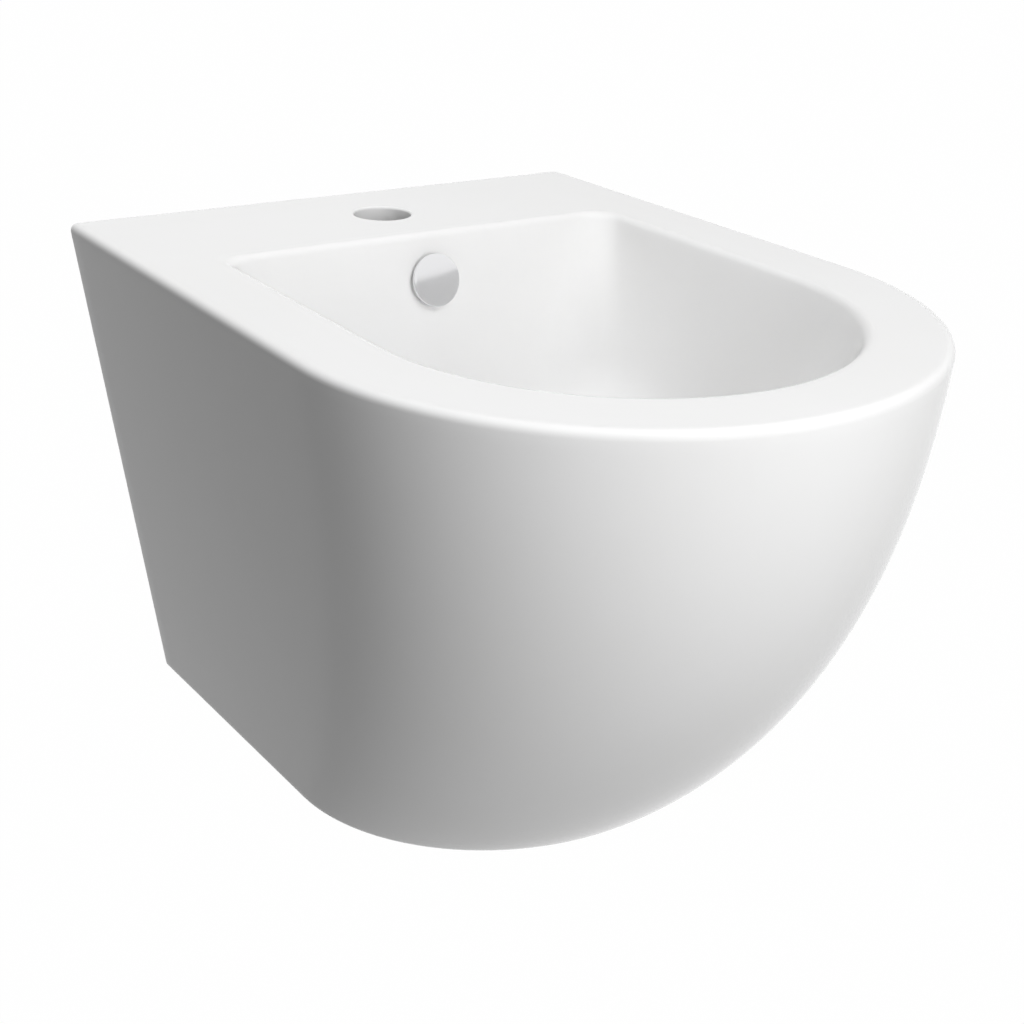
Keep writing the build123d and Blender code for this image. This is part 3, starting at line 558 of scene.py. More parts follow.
class BIDET_OT_glazed_body(bpy.types.Operator):
    """Makes the glazed ceramic body in place of the frame's plain one"""

    bl_idname = "bidet.glazed_body"
    bl_label = "Glazed body"

    def execute(self, context):
        body = context.scene.bidet_body
        rings = []
        # Lower edge, then the outside up to the rim's edge
        for step in range(edge_steps):
            turn = pi / 2 * step / edge_steps
            inset = body.lower_radius * (1 - sin(turn))
            rings.append(edge_ring(body, body.lower_radius * (1 - cos(turn)), inset))
        top = body.height - body.rim_radius
        for step in range(body.shell_rings + 1):
            share = (step / body.shell_rings) ** ring_gather
            height = body.lower_radius + (top - body.lower_radius) * share
            rings.append(shell_ring(body, height, 0.0, 0.0, body.corner_radius))
        # Rim's outer edge
        for step in range(1, edge_steps + 2):
            turn = pi / 2 * step / (edge_steps + 1)
            inset = body.rim_radius * (1 - cos(turn))
            rings.append(edge_ring(body, top + body.rim_radius * sin(turn), inset))
        # Flat rim, with a narrow band of faces at each of its edges
        outer = rings[-1]
        inner = bowl_ring(body, 0.0, 0.0)
        rings.append([a.lerp(b, rim_band) for a, b in zip(outer, inner)])
        rings.extend(blend(outer, inner, rim_steps))
        rings.append([a.lerp(b, 1 - rim_band) for a, b in zip(outer, inner)])
        rings.append(inner)
        # Bowl's edge and walls
        edge = body.bowl_edge
        edge_turn = pi / 2 - body.rear_draft
        for step in range(1, bowl_edge_steps + 1):
            rings.append(bowl_ring(body, edge * (1 - cos(edge_turn * step / bowl_edge_steps)), 0.0))
        round_start = body.bowl_depth - body.bowl_floor_radius
        for step in range(1, wall_steps + 1):
            rings.append(bowl_ring(body, edge + (round_start - edge) * step / wall_steps, 0.0))
        rings.extend(bowl_floor_rings(body, wall_steps))
        # Floor, dish and the top of the drain hole
        floor_z = rim_z - body.bowl_depth
        dish_top = circle_like(rings[-1], body.dish_radius, floor_z, drain_y)
        rings.extend(blend(rings[-1], dish_top, floor_steps))
        rings.append(dish_top)
        seat = floor_z - body.dish_depth
        well = waste_high.x
        for step in range(1, dish_steps + 1):
            share = step / dish_steps
            radius = body.dish_radius + (well - body.dish_radius) * share
            level = floor_z + (seat - floor_z) * share * share * (3 - 2 * share)
            rings.append(circle_like(dish_top, radius, level, drain_y))
        rings.append(circle_like(dish_top, body.drain_radius, seat, drain_y))
        glazed = mesh_of_rings("glazed_body", rings)
        glazed.data.materials.append(bpy.data.materials["glazed_ceramic"])
        cut(glazed, [body_hollow(body)] + body_holes(body))
        placed(glazed, "ceramic_body", "bidet")
        return {"FINISHED"}


class BidetFinish(bpy.types.PropertyGroup):
    """Colours and grain of the finishes."""

    glaze_gloss: factor("Glaze gloss", "Level of the glaze's plain reflection", 0.28)
    glaze: colour("Glaze", "White glaze of the body", (0.93, 0.93, 0.93))
    glaze_thin: colour("Thin glaze", "Glaze where it lies a little thinner", (0.918, 0.917, 0.914))
    bare: colour("Bare ceramic", "Unglazed inside of the body", (0.78, 0.76, 0.72))
    bare_dark: colour("Bare ceramic, dark", "Darker grains of the unglazed inside", (0.66, 0.63, 0.58))
    chrome: colour("Chrome", "Chromed fittings", (0.70, 0.70, 0.71))
    chrome_dim: colour("Chrome, dim", "Chrome under a trace of lime", (0.65, 0.65, 0.66))
    rubber: colour("Rubber", "Gaskets and seals", (0.028, 0.028, 0.030))
    rubber_dusty: colour("Rubber, dusty", "Rubber under its moulding dust", (0.055, 0.055, 0.056))
    plastic: colour("Plastic", "Trap, nuts and bushes", (0.80, 0.80, 0.78))
    plastic_warm: colour("Plastic, warm", "Plastic where it has aged a little", (0.78, 0.775, 0.74))
    brass: colour("Brass", "Locknut and cartridge", (0.66, 0.47, 0.22))
    brass_dull: colour("Brass, dull", "Brass with a first tarnish", (0.50, 0.36, 0.18))
    steel: colour("Plated steel", "Studs, nuts and washers", (0.58, 0.58, 0.57))
    steel_dull: colour("Plated steel, dull", "Duller grains of the plating", (0.44, 0.44, 0.45))


# Each material, its two tones, their roughness, how metallic it is, its mask and its waves
finishes = (
    ("glazed_ceramic", "glaze", "glaze_thin", (0.07, 0.12), 0.0,
     ("soft_patches", {"Scale": 9.0, "Detail": 4.0}),
     {"Scale": 26.0, "Strength": 0.12, "Height": 0.0006}),
    ("bare_ceramic", "bare", "bare_dark", (0.72, 0.9), 0.0,
     ("soft_patches", {"Scale": 160.0, "Detail": 6.0}),
     {"Scale": 900.0, "Detail": 3.0, "Strength": 0.4, "Height": 0.0003}),
    ("chrome_plate", "chrome", "chrome_dim", (0.16, 0.24), 1.0,
     ("soft_patches", {"Scale": 90.0, "Detail": 5.0}),
     {"Scale": 120.0, "Strength": 0.06, "Height": 0.0002}),
    ("plain_brass", "brass", "brass_dull", (0.24, 0.42), 1.0,
     ("soft_patches", {"Scale": 130.0, "Detail": 6.0}),
     {"Scale": 1400.0, "Detail": 2.0, "Strength": 0.25, "Height": 0.0001}),
    ("plated_steel", "steel", "steel_dull", (0.28, 0.48), 1.0,
     ("plating_grains", {"Scale": 850.0}),
     {"Scale": 700.0, "Detail": 2.0, "Strength": 0.15, "Height": 0.0001}),
    ("black_rubber", "rubber", "rubber_dusty", (0.5, 0.75), 0.0,
     ("soft_patches", {"Scale": 240.0, "Detail": 6.0}),
     {"Scale": 1800.0, "Detail": 3.0, "Strength": 0.35, "Height": 0.0001}),
    ("white_plastic", "plastic", "plastic_warm", (0.28, 0.40), 0.0,
     ("soft_patches", {"Scale": 45.0, "Detail": 4.0}),
     {"Scale": 500.0, "Detail": 2.0, "Strength": 0.15, "Height": 0.0001}),
)


def wire(tree, *rows):
    """Links nodes: each row holds a node, its output, the next node and its input."""
    for source, output, target, entry in rows:
        tree.links.new(source.outputs[output], target.inputs[entry])


def new_group(name, values, output, kind):
    """A shader node group with number inputs and one output, and its object coordinates."""
    tree = bpy.data.node_groups.new(name, "ShaderNodeTree")
    for label, default in values.items():
        socket = tree.interface.new_socket(label, in_out="INPUT", socket_type="NodeSocketFloat")
        socket.default_value = default
    tree.interface.new_socket(output, in_out="OUTPUT", socket_type=kind)
    start, end = tree.nodes.new("NodeGroupInput"), tree.nodes.new("NodeGroupOutput")
    return tree, start, end, tree.nodes.new("ShaderNodeTexCoord")


def patches_group():
    """Soft patches: a mask between 0 and 1, in object coordinates."""
    tree, start, end, place = new_group(
        "soft_patches", {"Scale": 20.0, "Detail": 3.0, "Low": 0.35, "High": 0.65},
        "Mask", "NodeSocketFloat",
    )
    noise = tree.nodes.new("ShaderNodeTexNoise")
    spread = tree.nodes.new("ShaderNodeMapRange")
    wire(
        tree, (place, "Object", noise, "Vector"), (start, "Scale", noise, "Scale"),
        (start, "Detail", noise, "Detail"), (noise, "Fac", spread, "Value"),
        (start, "Low", spread, "From Min"), (start, "High", spread, "From Max"),
        (spread, "Result", end, "Mask"),
    )


def waves_group():
    """A waved or grained surface: a normal from noise in object coordinates."""
    tree, start, end, place = new_group(
        "surface_waves", {"Scale": 60.0, "Detail": 1.0, "Strength": 0.1, "Height": 0.0002},
        "Normal", "NodeSocketVector",
    )
    noise = tree.nodes.new("ShaderNodeTexNoise")
    bump = tree.nodes.new("ShaderNodeBump")
    wire(
        tree, (place, "Object", noise, "Vector"), (start, "Scale", noise, "Scale"),
        (start, "Detail", noise, "Detail"), (noise, "Fac", bump, "Height"),
        (start, "Strength", bump, "Strength"), (start, "Height", bump, "Distance"),
        (bump, "Normal", end, "Normal"),
    )


def grains_group():
    """Crystal grains: a value for each cell, in object coordinates."""
    tree, start, end, place = new_group("plating_grains", {"Scale": 900.0}, "Mask", "NodeSocketFloat")
    cells = tree.nodes.new("ShaderNodeTexVoronoi")
    tone = tree.nodes.new("ShaderNodeSeparateColor")
    wire(
        tree, (place, "Object", cells, "Vector"), (start, "Scale", cells, "Scale"),
        (cells, "Color", tone, "Color"), (tone, "Red", end, "Mask"),
    )


def grouped(nodes, name, values):
    """A node that holds a node group, with its inputs set."""
    node = nodes.new("ShaderNodeGroup")
    node.node_tree = bpy.data.node_groups[name]
    for label, value in values.items():
        node.inputs[label].default_value = value
    return node


def finish_material(name, first, second, gloss, metallic, mask, waves):
    """A material between two colours and two roughness values, by a mask group, with waves."""
    material = plain_material(name, first, gloss[0], metallic)
    nodes = material.node_tree.nodes
    shader = nodes["Principled BSDF"]
    part = grouped(nodes, *mask)
    mix = nodes.new("ShaderNodeMix")
    mix.data_type = "RGBA"
    mix.inputs["A"].default_value = (*first, 1)
    mix.inputs["B"].default_value = (*second, 1)
    span = nodes.new("ShaderNodeMapRange")
    span.inputs["To Min"].default_value = gloss[0]
    span.inputs["To Max"].default_value = gloss[1]
    rough = grouped(nodes, "surface_waves", waves)
    wire(
        material.node_tree, (part, "Mask", mix, "Factor"), (mix, "Result", shader, "Base Color"),
        (part, "Mask", span, "Value"), (span, "Result", shader, "Roughness"),
        (rough, "Normal", shader, "Normal"),
    )
    return shader


class BIDET_OT_finishes(bpy.types.Operator):
    """Makes the materials and gives them to the frame's own nodes"""

    bl_idname = "bidet.finishes"
    bl_label = "Finishes"

    def execute(self, context):
        finish = context.scene.bidet_finish
        patches_group()
        waves_group()
        grains_group()
        for name, first, second, *rest in finishes:
            shader = finish_material(name, getattr(finish, first), getattr(finish, second), *rest)
            if name == "glazed_ceramic":
                shader.inputs["Specular IOR Level"].default_value = finish.glaze_gloss
        slots = {row["node"]: row["material_slot"] for row in frame["record"]["subparts"]}
        names = {"glazed_white": "glazed_ceramic"}
        for node, thing in frame["nodes"].items():
            material = bpy.data.materials[names.get(slots[node], slots[node])]
            thing.data.materials.clear()
            thing.data.materials.append(material)
        return {"FINISHED"}


class BidetFittings(bpy.types.PropertyGroup):
    """Sizes of the fittings that are not in the frame's boxes."""

    edge: size("Edges", "Size of the small rounded edges", 0.0005)
    cover_dome: size("Cover dome", "Rise of the overflow cover's face", 0.0002)
    plug_dome: size("Plug dome", "Rise of the plug's top", 0.0005)
    cover_gap: size("Cover gap", "Wall to the back of the overflow cover", 0.003)
    cover_radius: size("Cover radius", "Radius of the overflow cover", 0.016)
    cover_depth: size("Cover depth", "Thickness of the overflow cover", 0.0025)
    stem_radius: size("Stem radius", "Radius of the cover's stem", 0.0025)
    stem_reach: size("Stem reach", "Length of the stem behind the wall's face", 0.009)
    plug_edge: size("Plug edge", "Radius of the plug's edge", 0.0015)
    plug_plate: size("Plug plate", "Thickness of the plug's plate", 0.004)
    socket_radius: size("Socket radius", "Radius of the plug's socket", 0.007)
    piston_radius: size("Piston radius", "Radius of the plug's piston", 0.004)
    piston_depth: size("Piston depth", "How far the piston stands in the socket", 0.004)
    pitch: size("Thread pitch", "Pitch of the studs' threads", 0.00175)
    thread_depth: size("Thread depth", "Depth of the studs' threads", 0.0009)
    rib_radius: size("Rib radius", "Radius of the ribs on the trap's nuts", 0.0011)
    tube_radius: size("Tube radius", "Radius of the trap's tubes", 0.016)
    trap_wall: size("Trap wall", "Thickness of the trap's nuts", 0.003)
    neck_ribs: count("Neck nut ribs", "Ribs round the neck nut", 24)
    inlet_ribs: count("Inlet nut ribs", "Ribs round the inlet nut", 28)
    outlet_ribs: count("Outlet nut ribs", "Ribs round the outlet nut", 24)
    cup_ribs: count("Cup ribs", "Ribs round the bottle's cup", 40)


def new_modifier_tree(name, inputs):
    """A geometry node tree: its named inputs, then those that place and paint what it makes."""
    tree = bpy.data.node_groups.new(name, "GeometryNodeTree")
    tree.interface.new_socket("Geometry", in_out="INPUT", socket_type="NodeSocketGeometry")
    shared = (("Length", "Float"), ("Place", "Vector"), ("Turn", "Rotation"), ("Material", "Material"))
    for label, kind in (*inputs, *shared):
        tree.interface.new_socket(label, in_out="INPUT", socket_type="NodeSocket" + kind)
    tree.interface.new_socket("Geometry", in_out="OUTPUT", socket_type="NodeSocketGeometry")
    return tree, tree.nodes.new("NodeGroupInput"), tree.nodes.new("NodeGroupOutput")


def placed_end(tree, start, end, made, output):
    """Turns and moves made geometry, gives it its material and joins it to the piece."""
    real = tree.nodes.new("GeometryNodeRealizeInstances")
    place = tree.nodes.new("GeometryNodeTransform")
    paint = tree.nodes.new("GeometryNodeSetMaterial")
    join = tree.nodes.new("GeometryNodeJoinGeometry")
    wire(
        tree, (made, output, place, "Geometry"), (start, "Place", place, "Translation"),
        (start, "Turn", place, "Rotation"), (place, "Geometry", join, "Geometry"),
        (start, "Geometry", join, "Geometry"), (join, "Geometry", real, "Geometry"),
        (real, "Geometry", paint, "Geometry"), (start, "Material", paint, "Material"),
        (paint, "Geometry", end, "Geometry"),
    )


def ribs_tree():
    """Ribs that stand round a nut."""
    tree, start, end = new_modifier_tree(
        "grip_ribs", [("Ribs", "Int"), ("Radius", "Float"), ("Rib radius", "Float")],
    )
    around = tree.nodes.new("GeometryNodeMeshCircle")
    rib = tree.nodes.new("GeometryNodeMeshCylinder")
    rib.inputs["Vertices"].default_value = 14
    copies = tree.nodes.new("GeometryNodeInstanceOnPoints")
    wire(
        tree, (start, "Ribs", around, "Vertices"), (start, "Radius", around, "Radius"),
        (start, "Rib radius", rib, "Radius"), (start, "Length", rib, "Depth"),
        (around, "Mesh", copies, "Points"), (rib, "Mesh", copies, "Instance"),
    )
    placed_end(tree, start, end, copies, "Instances")


def thread_tree():
    """The turns of a thread round a rod."""
    tree, start, end = new_modifier_tree(
        "thread_turns", [("Turns", "Float"), ("Radius", "Float"), ("Ridge", "Float")],
    )
    helix = tree.nodes.new("GeometryNodeCurveSpiral")
    helix.inputs["Resolution"].default_value = 28
    ridge = tree.nodes.new("GeometryNodeCurvePrimitiveCircle")
    ridge.inputs["Resolution"].default_value = 6
    sweep = tree.nodes.new("GeometryNodeCurveToMesh")
    sweep.inputs["Fill Caps"].default_value = True
    wire(
        tree, (start, "Turns", helix, "Rotations"), (start, "Radius", helix, "Start Radius"),
        (start, "Radius", helix, "End Radius"), (start, "Length", helix, "Height"),
        (start, "Ridge", ridge, "Radius"), (helix, "Curve", sweep, "Curve"),
        (ridge, "Curve", sweep, "Profile Curve"),
    )
    placed_end(tree, start, end, sweep, "Mesh")


def repeated(piece, name, values):
    """Adds what a geometry node tree repeats to a piece, as plain faces."""
    tree = bpy.data.node_groups[name]
    step = piece.modifiers.new(name, "NODES")
    step.node_group = tree
    for item in tree.interface.items_tree:
        if item.item_type == "SOCKET" and item.in_out == "INPUT" and item.name in values:
            step[item.identifier] = values[item.name]
    bpy.context.view_layer.update()
    evaluated = piece.evaluated_get(bpy.context.evaluated_depsgraph_get())
    mesh = bpy.data.meshes.new_from_object(evaluated)
    piece.modifiers.clear()
    piece.data = mesh


def joined(name, pieces):
    """One piece from several, with the first one's materials."""
    made = bmesh.new()
    for piece in pieces:
        made.from_mesh(piece.data)
    mesh = bpy.data.meshes.new(name)
    for material in pieces[0].data.materials:
        mesh.materials.append(material)
    made.to_mesh(mesh)
    made.free()
    for piece in pieces:
        bpy.data.objects.remove(piece)
    whole = bpy.data.objects.new(name, mesh)
    bpy.context.scene.collection.objects.link(whole)
    return whole


def painted(piece, material):
    """Gives a piece its material."""
    piece.data.materials.clear()
    piece.data.materials.append(bpy.data.materials[material])
    return piece


def placed(piece, node, body):
    """Hands a finished piece to the frame, in place of a node."""
    smooth(piece)
    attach(piece, body)
    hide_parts(node)


def domed_end(top, radius, edge, dome, edge_parts, dome_parts):
    """Pairs of (distance, radius) over a rounded edge and the low dome inside it."""
    pairs = []
    for step in range(edge_parts + 1):
        turn = pi / 2 * step / edge_parts
        pairs.append((top - edge + edge * sin(turn), radius - edge + edge * cos(turn)))
    for step in range(1, dome_parts):
        share = 1 - step / dome_parts
        pairs.append((top + dome * (1 - share * share), (radius - edge) * share))
    return pairs


class BIDET_OT_waste_fittings(bpy.types.Operator):
    """Makes the overflow cover and the waste's plug"""

    bl_idname = "bidet.waste_fittings"
    bl_label = "Overflow cover and plug"

    def execute(self, context):
        body = context.scene.bidet_body
        fit = context.scene.bidet_fittings
        lean = body.rear_draft
        outwards = Vector((0, -cos(lean), sin(lean)))
        back, edge, radius = fit.cover_gap, fit.edge, fit.cover_radius
        stem, middle = -fit.stem_reach, edge * edge_middle
        profile = [(stem, fit.stem_radius - edge), (stem + edge, fit.stem_radius)]
        profile += [(back, fit.stem_radius), (back, radius - edge), (back + middle, radius - middle)]
        profile += [(back + edge, radius)]
        profile += domed_end(back + fit.cover_depth, radius, edge, fit.cover_dome, 4, 9)
        cover = turned("overflow_disc", profile, overflow_middle(body), outwards, chrome_points)
        placed(painted(cover, "chrome_plate"), "overflow_cover", "bidet")
        low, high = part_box("waste_plug")
        radius, edge, bottom = (high.x - low.x) / 2, fit.plug_edge, high.z - fit.plug_plate
        bore, deep, middle = fit.piston_radius, low.z + fit.piston_depth, edge * edge_middle
        profile = [(deep, bore * socket_end), (deep, bore), (low.z, bore)]
        profile += [(low.z, fit.socket_radius - fit.edge), (low.z + fit.edge, fit.socket_radius)]
        profile += [(bottom, fit.socket_radius), (bottom, radius - edge)]
        profile += [(bottom + middle, radius - middle)]
        profile += domed_end(high.z, radius, edge, fit.plug_dome, 6, 13)
        plug = turned("plug_cap", profile, Vector((0, drain_y, 0)), Vector((0, 0, 1)), chrome_points)
        placed(painted(plug, "chrome_plate"), "waste_plug", "plug")
        return {"FINISHED"}


def add_ribs(piece, count_round, radius, length, middle, turn=None):
    """Stands ribs round a moulded piece."""
    fit = bpy.context.scene.bidet_fittings
    values = {
        "Ribs": count_round, "Radius": radius - fit.rib_radius * rib_sink, "Rib radius": fit.rib_radius,
        "Length": length, "Place": middle, "Material": bpy.data.materials["white_plastic"],
    }
    if turn:
        values["Turn"] = turn
    repeated(piece, "grip_ribs", values)


class BIDET_OT_trap_nuts(bpy.types.Operator):
    """Makes the trap's ribbed nuts and the bottle's ribbed cup"""

    bl_idname = "bidet.trap_nuts"
    bl_label = "Trap nuts and cup"

    def execute(self, context):
        fit = context.scene.bidet_fittings
        ribs_tree()
        up, inwards = Vector((0, 0, 1)), Vector((0, 1, 0))
        bore, wall, edge = fit.tube_radius + tube_gap, fit.trap_wall, fit.edge
        rib = fit.rib_radius * rib_stand
        for name, node, ribs, axis in (
            ("neck_nut", "trap_neck_nut", fit.neck_ribs, up),
            ("inlet_nut", "trap_inlet_nut", fit.inlet_ribs, up),
            ("branch_nut", "outlet_nut", fit.outlet_ribs, inwards),
        ):
            low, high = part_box(node)
            radius = (high.x - low.x) / 2 - rib
            tall = high.z - low.z if axis is up else high.y - low.y
            inner = waste_tube_radius() if name == "inlet_nut" else radius + rib - wall
            profile = [(0, inner), (0, radius - edge), (edge, radius), (tall - 2 * edge, radius)]
            profile += [(tall, radius - 2 * edge), (tall, bore)]
            profile += [(tall - wall, bore), (tall - wall, inner)]
            # The inlet nut's lip is at its lower end, the others' at their far end
            if name == "inlet_nut":
                profile = [(tall - along, across) for along, across in profile]
            place = Vector((0, drain_y, low.z))
            if axis is inwards:
                place = Vector((0, low.y, (low.z + high.z) / 2))
            nut = painted(turned(name, profile, place, axis, turned_points, True), "white_plastic")
            start, stop = tall * rib_margin, tall * (1 - rib_margin)
            middle = place + axis * (start + stop) / 2
            turn = axis.to_track_quat("Z", "Y").to_euler()
            add_ribs(nut, ribs, radius, stop - start, middle, turn)
            placed(nut, node, "bidet")
        low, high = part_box("trap_cup")
        radius, tall = (high.x - low.x) / 2 - rib, high.z - low.z
        inner = radius + rib - wall
        profile = [(0, radius * cup_end), (0, radius - 3 * edge), (edge, radius - edge)]
        profile += [(3 * edge, radius), (tall - edge, radius), (tall, radius - edge)]
        profile += [(tall, inner), (wall, inner), (wall, inner * cup_end)]
        place = Vector((0, drain_y, low.z))
        cup = painted(turned("bottle_cup", profile, place, up), "white_plastic")
        add_ribs(cup, fit.cup_ribs, radius, tall * cup_rib_height, place + up * tall * cup_rib_middle)
        placed(cup, "trap_cup", "bidet")
        return {"FINISHED"}


def waste_tube_radius():
    """The radius inside the inlet nut, over the waste's threaded tube."""
    low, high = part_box("slip_washer")
    return (high.x - low.x) / 2 * waste_thread


def hex_nut(name, flats, bore, place, axis, tall):
    """A hexagon nut with chamfered corners."""
    up, ways = ways_round(axis, turned_points)
    face = flats / 2 - nut_face_inset
    rows = [[] for station in range(6)]
    for turn, way in ways:
        inside = (turn + pi / 6) % (pi / 3) - pi / 6
        corner = flats / 2 / cos(inside)
        rise = (corner - face) * tan(radians(nut_bevel))
        stations = [(0, bore), (0, face), (rise, corner)]
        stations += [(tall - rise, corner), (tall, face), (tall, bore)]
        for row, (along, radius) in zip(rows, stations):
            row.append(place + up * along + way * radius)
    rows.append(rows[0])
    return welded(mesh_of_rings(name, rows, False))


def fixing_pair(name, node, make):
    """Both copies of a steel piece of the wall fixings, joined, in place of a node."""
    wall_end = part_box(node)[1].y
    pieces = []
    for side in (-1, 1):
        pieces.append(make(Vector((side * fixing_x, wall_end, 0))))
    placed(joined(name, pieces), node, "bidet")


class BIDET_OT_wall_fixings(bpy.types.Operator):
    """Makes the threaded studs, the washers and the nuts"""

    bl_idname = "bidet.wall_fixings"
    bl_label = "Wall fixings"

    def execute(self, context):
        fit = context.scene.bidet_fittings
        thread_tree()
        inwards = Vector((0, -1, 0))
        low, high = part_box("fixing_studs")
        radius, long = high.x - fixing_x, high.y - low.y
        deep, edge, plain_end = fit.thread_depth, fit.edge, 2 * fit.pitch
        core = radius - deep / 2

        def rod(place):
            profile = [(0, core - deep), (deep, core), (long - deep, core), (long, core - deep)]
            made = painted(turned("rod", profile, place, inwards, stud_points), "plated_steel")
            repeated(made, "thread_turns", {
                "Turns": (long - 2 * plain_end) / fit.pitch, "Radius": core, "Ridge": deep / 2,
                "Length": long - 2 * plain_end, "Place": place + inwards * plain_end,
                "Turn": inwards.to_track_quat("Z", "Y").to_euler(),
                "Material": bpy.data.materials["plated_steel"],
            })
            return made

        def washer(place):
            low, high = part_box("fixing_washers")
            outer, thick = high.x - fixing_x, high.y - low.y
            profile = [(0, radius + edge), (0, outer - edge), (edge, outer)]
            profile += [(thick - edge, outer), (thick, outer - edge), (thick, radius + edge)]
            made = turned("washer", profile, place, inwards, turned_points, True)
            return painted(made, "plated_steel")

        def nut(place):
            low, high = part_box("fixing_nuts")
            flats = min(high.z - low.z, 2 * (high.x - fixing_x))
            made = hex_nut("nut", flats, radius + edge / 4, place, inwards, high.y - low.y)
            return painted(made, "plated_steel")

        fixing_pair("stud_rods", "fixing_studs", rod)
        fixing_pair("plain_washers", "fixing_washers", washer)
        fixing_pair("hexagon_nuts", "fixing_nuts", nut)
        return {"FINISHED"}


class BidetStage(bpy.types.PropertyGroup):
    """Camera, lamps and background."""

    camera_azimuth: angle("Azimuth", "Camera's direction, from the front towards the right", -36.8994)
    camera_elevation: angle("Elevation", "Camera's height above the horizon", 24.2501)
    camera_roll: angle("Roll", "Camera's turn about its own axis", 2.7165)
    camera_place: FloatVectorProperty(
        name="Camera place", description="Where the camera stands", default=(-0.48605, -0.88865, 0.31418),
        unit="LENGTH", precision=5,
    )
    lens: factor("Lens", "Focal length in millimetres on a 36 mm sensor", 54.122)
    shift_x: factor("Shift X", "Camera's shift to the side", -0.02886)
    shift_y: factor("Shift Y", "Camera's shift upwards", 0.00119)
    floor_drop: size("Floor drop", "Floor's distance below the body", 0.35)
    floor_reach: size("Floor reach", "Half of the floor's width", 12.0)
    floor_white: factor("Floor white", "Floor's own brightness", 0.15)
    floor_glow: factor("Floor glow", "Share of plain white where the floor is seen", 0.995)
    ambient: factor("Ambient", "Strength of the surroundings as a light", 0.05)
    lamp_distance: size("Lamp distance", "Body's middle to the lamps", 1.6)
    lamp_width: size("Lamp width", "Side of the square lamps", 0.8)
    front_power: factor("Front lamp", "Power of the low lamp in front, in watts", 13.2)
    high_power: factor("High lamp", "Power of the high lamp in front, in watts", 8.0)
    top_power: factor("Top lamp", "Power of the lamp above the back, in watts", 13.0)
    side_power: factor("Side lamp", "Power of the lamp at the right, in watts", 0.8)


# Where each lamp shines from: name, power's property, azimuth and height in degrees
lamps = (
    ("front_lamp", "front_power", -9, 15),
    ("high_lamp", "high_power", 5, 50),
    ("top_lamp", "top_power", 205, 70),
    ("side_lamp", "side_power", 115, 3),
)


def white_seen(tree):
    """A value of 1 where the camera, a reflection or a transparent piece sees the background."""
    path = tree.nodes.new("ShaderNodeLightPath")
    seen = None
    for ray in ("Is Camera Ray", "Is Glossy Ray", "Is Transmission Ray"):
        if seen is None:
            seen = path.outputs[ray]
            continue
        most = tree.nodes.new("ShaderNodeMath")
        most.operation = "MAXIMUM"
        tree.links.new(seen, most.inputs[0])
        tree.links.new(path.outputs[ray], most.inputs[1])
        seen = most.outputs[0]
    return seen


def direction(turn, rise):
    """The direction towards a place, from its azimuth and its height above the horizon."""
    return Vector((sin(turn) * cos(rise), -cos(turn) * cos(rise), sin(rise)))


def soft_lamp(name, away, distance, width, power):
    """A square area lamp that shines on the body's middle from a direction."""
    middle = (cad_low + cad_high) / 2
    lamp = bpy.data.lights.new(name, "AREA")
    lamp.size = width
    lamp.energy = power
    thing = bpy.data.objects.new(name, lamp)
    bpy.context.scene.collection.objects.link(thing)
    away = away.normalized()
    thing.location = middle + away * distance
    thing.rotation_mode = "QUATERNION"
    thing.rotation_quaternion = away.to_track_quat("Z", "Y")
    thing.visible_glossy = False


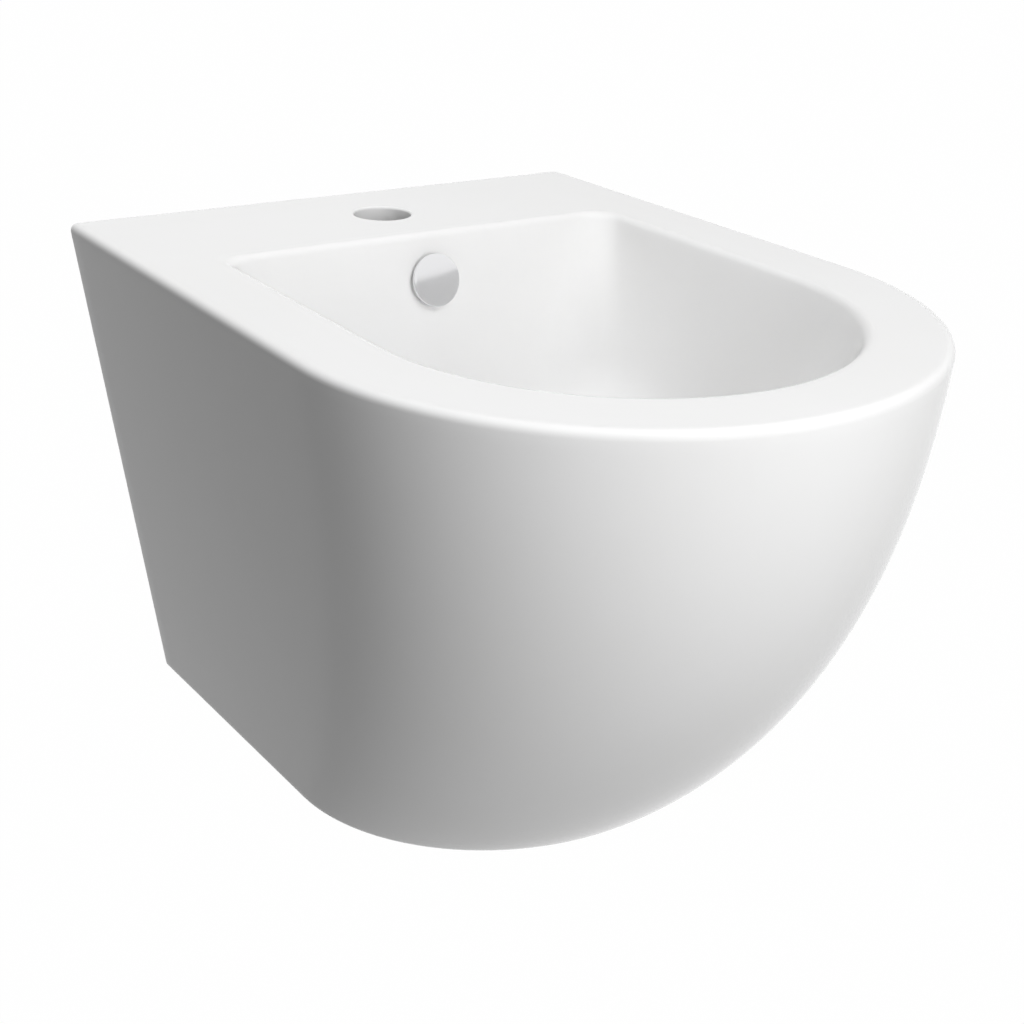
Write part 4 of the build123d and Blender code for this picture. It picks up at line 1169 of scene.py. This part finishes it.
class BIDET_OT_stage(bpy.types.Operator):
    """Makes the floor, the lamps, the white surroundings and the camera"""

    bl_idname = "bidet.stage"
    bl_label = "Stage"

    def execute(self, context):
        stage = context.scene.bidet_stage
        scene = context.scene
        scene.view_settings.view_transform = "Standard"
        # Surroundings: white to the camera and in reflections, dimmer as a light
        world = bpy.data.worlds.new("studio")
        scene.world = world
        world.use_nodes = True
        nodes, links = world.node_tree.nodes, world.node_tree.links
        background = nodes["Background"]
        background.inputs["Color"].default_value = (1, 1, 1, 1)
        strength = nodes.new("ShaderNodeMapRange")
        strength.inputs["To Min"].default_value = stage.ambient
        strength.inputs["To Max"].default_value = 1.0
        links.new(white_seen(world.node_tree), strength.inputs["Value"])
        links.new(strength.outputs["Result"], background.inputs["Strength"])
        # Floor: pale, and white where it is seen
        low = underside_z - stage.floor_drop
        reach = stage.floor_reach
        corners = [(-reach, -reach, low), (reach, -reach, low), (reach, reach, low), (-reach, reach, low)]
        mesh = bpy.data.meshes.new("floor")
        mesh.from_pydata(corners, [], [(0, 1, 2, 3)])
        floor = bpy.data.objects.new("floor", mesh)
        scene.collection.objects.link(floor)
        material = plain_material("studio_floor", (stage.floor_white,) * 3, 0.9)
        floor.data.materials.append(material)
        nodes = material.node_tree.nodes
        glow = nodes.new("ShaderNodeEmission")
        share = nodes.new("ShaderNodeMath")
        share.operation = "MULTIPLY"
        share.inputs[1].default_value = stage.floor_glow
        material.node_tree.links.new(white_seen(material.node_tree), share.inputs[0])
        mix = nodes.new("ShaderNodeMixShader")
        wire(
            material.node_tree, (share, 0, mix, "Fac"), (nodes["Principled BSDF"], "BSDF", mix, 1),
            (glow, "Emission", mix, 2), (mix, "Shader", nodes["Material Output"], "Surface"),
        )
        for name, power, azimuth, height in lamps:
            away = direction(radians(azimuth), radians(height))
            soft_lamp(name, away, stage.lamp_distance, stage.lamp_width, getattr(stage, power))
        # Camera as the photograph was taken
        camera = bpy.data.cameras.new("camera")
        camera.sensor_width = 36
        camera.lens = stage.lens
        camera.shift_x = stage.shift_x
        camera.shift_y = stage.shift_y
        view = bpy.data.objects.new("camera", camera)
        scene.collection.objects.link(view)
        turn, rise, roll = stage.camera_azimuth, stage.camera_elevation, stage.camera_roll
        back = direction(turn, rise)
        right = Vector((0, 0, 1)).cross(back).normalized()
        up = back.cross(right)
        right, up = right * cos(roll) + up * sin(roll), up * cos(roll) - right * sin(roll)
        place = Matrix((right, up, back)).transposed().to_4x4()
        place.translation = stage.camera_place
        view.matrix_world = place
        scene.camera = view
        return {"FINISHED"}


groups = (BidetBody, BidetFinish, BidetFittings, BidetStage)
operators = (
    BIDET_OT_finishes, BIDET_OT_glazed_body, BIDET_OT_waste_fittings, BIDET_OT_trap_nuts,
    BIDET_OT_wall_fixings, BIDET_OT_stage,
)


class BIDET_PT_panel(bpy.types.Panel):
    """Lists the steps in the sidebar"""

    bl_label = "Bidet"
    bl_idname = "BIDET_PT_panel"
    bl_space_type = "VIEW_3D"
    bl_region_type = "UI"
    bl_category = "Bidet"

    def draw(self, context):
        for operator in operators:
            self.layout.operator(operator.bl_idname)


def register():
    for group in groups:
        bpy.utils.register_class(group)
    for operator in operators:
        bpy.utils.register_class(operator)
    bpy.utils.register_class(BIDET_PT_panel)
    bpy.types.Scene.bidet_body = PointerProperty(type=BidetBody)
    bpy.types.Scene.bidet_finish = PointerProperty(type=BidetFinish)
    bpy.types.Scene.bidet_fittings = PointerProperty(type=BidetFittings)
    bpy.types.Scene.bidet_stage = PointerProperty(type=BidetStage)


def unregister():
    del bpy.types.Scene.bidet_stage
    del bpy.types.Scene.bidet_fittings
    del bpy.types.Scene.bidet_finish
    del bpy.types.Scene.bidet_body
    bpy.utils.unregister_class(BIDET_PT_panel)
    for operator in reversed(operators):
        bpy.utils.unregister_class(operator)
    for group in reversed(groups):
        bpy.utils.unregister_class(group)


def main():
    register()
    bpy.ops.bidet.finishes()
    bpy.ops.bidet.glazed_body()
    bpy.ops.bidet.waste_fittings()
    bpy.ops.bidet.trap_nuts()
    bpy.ops.bidet.wall_fixings()
    bpy.ops.bidet.stage()


if __name__ == "__main__":
    main()
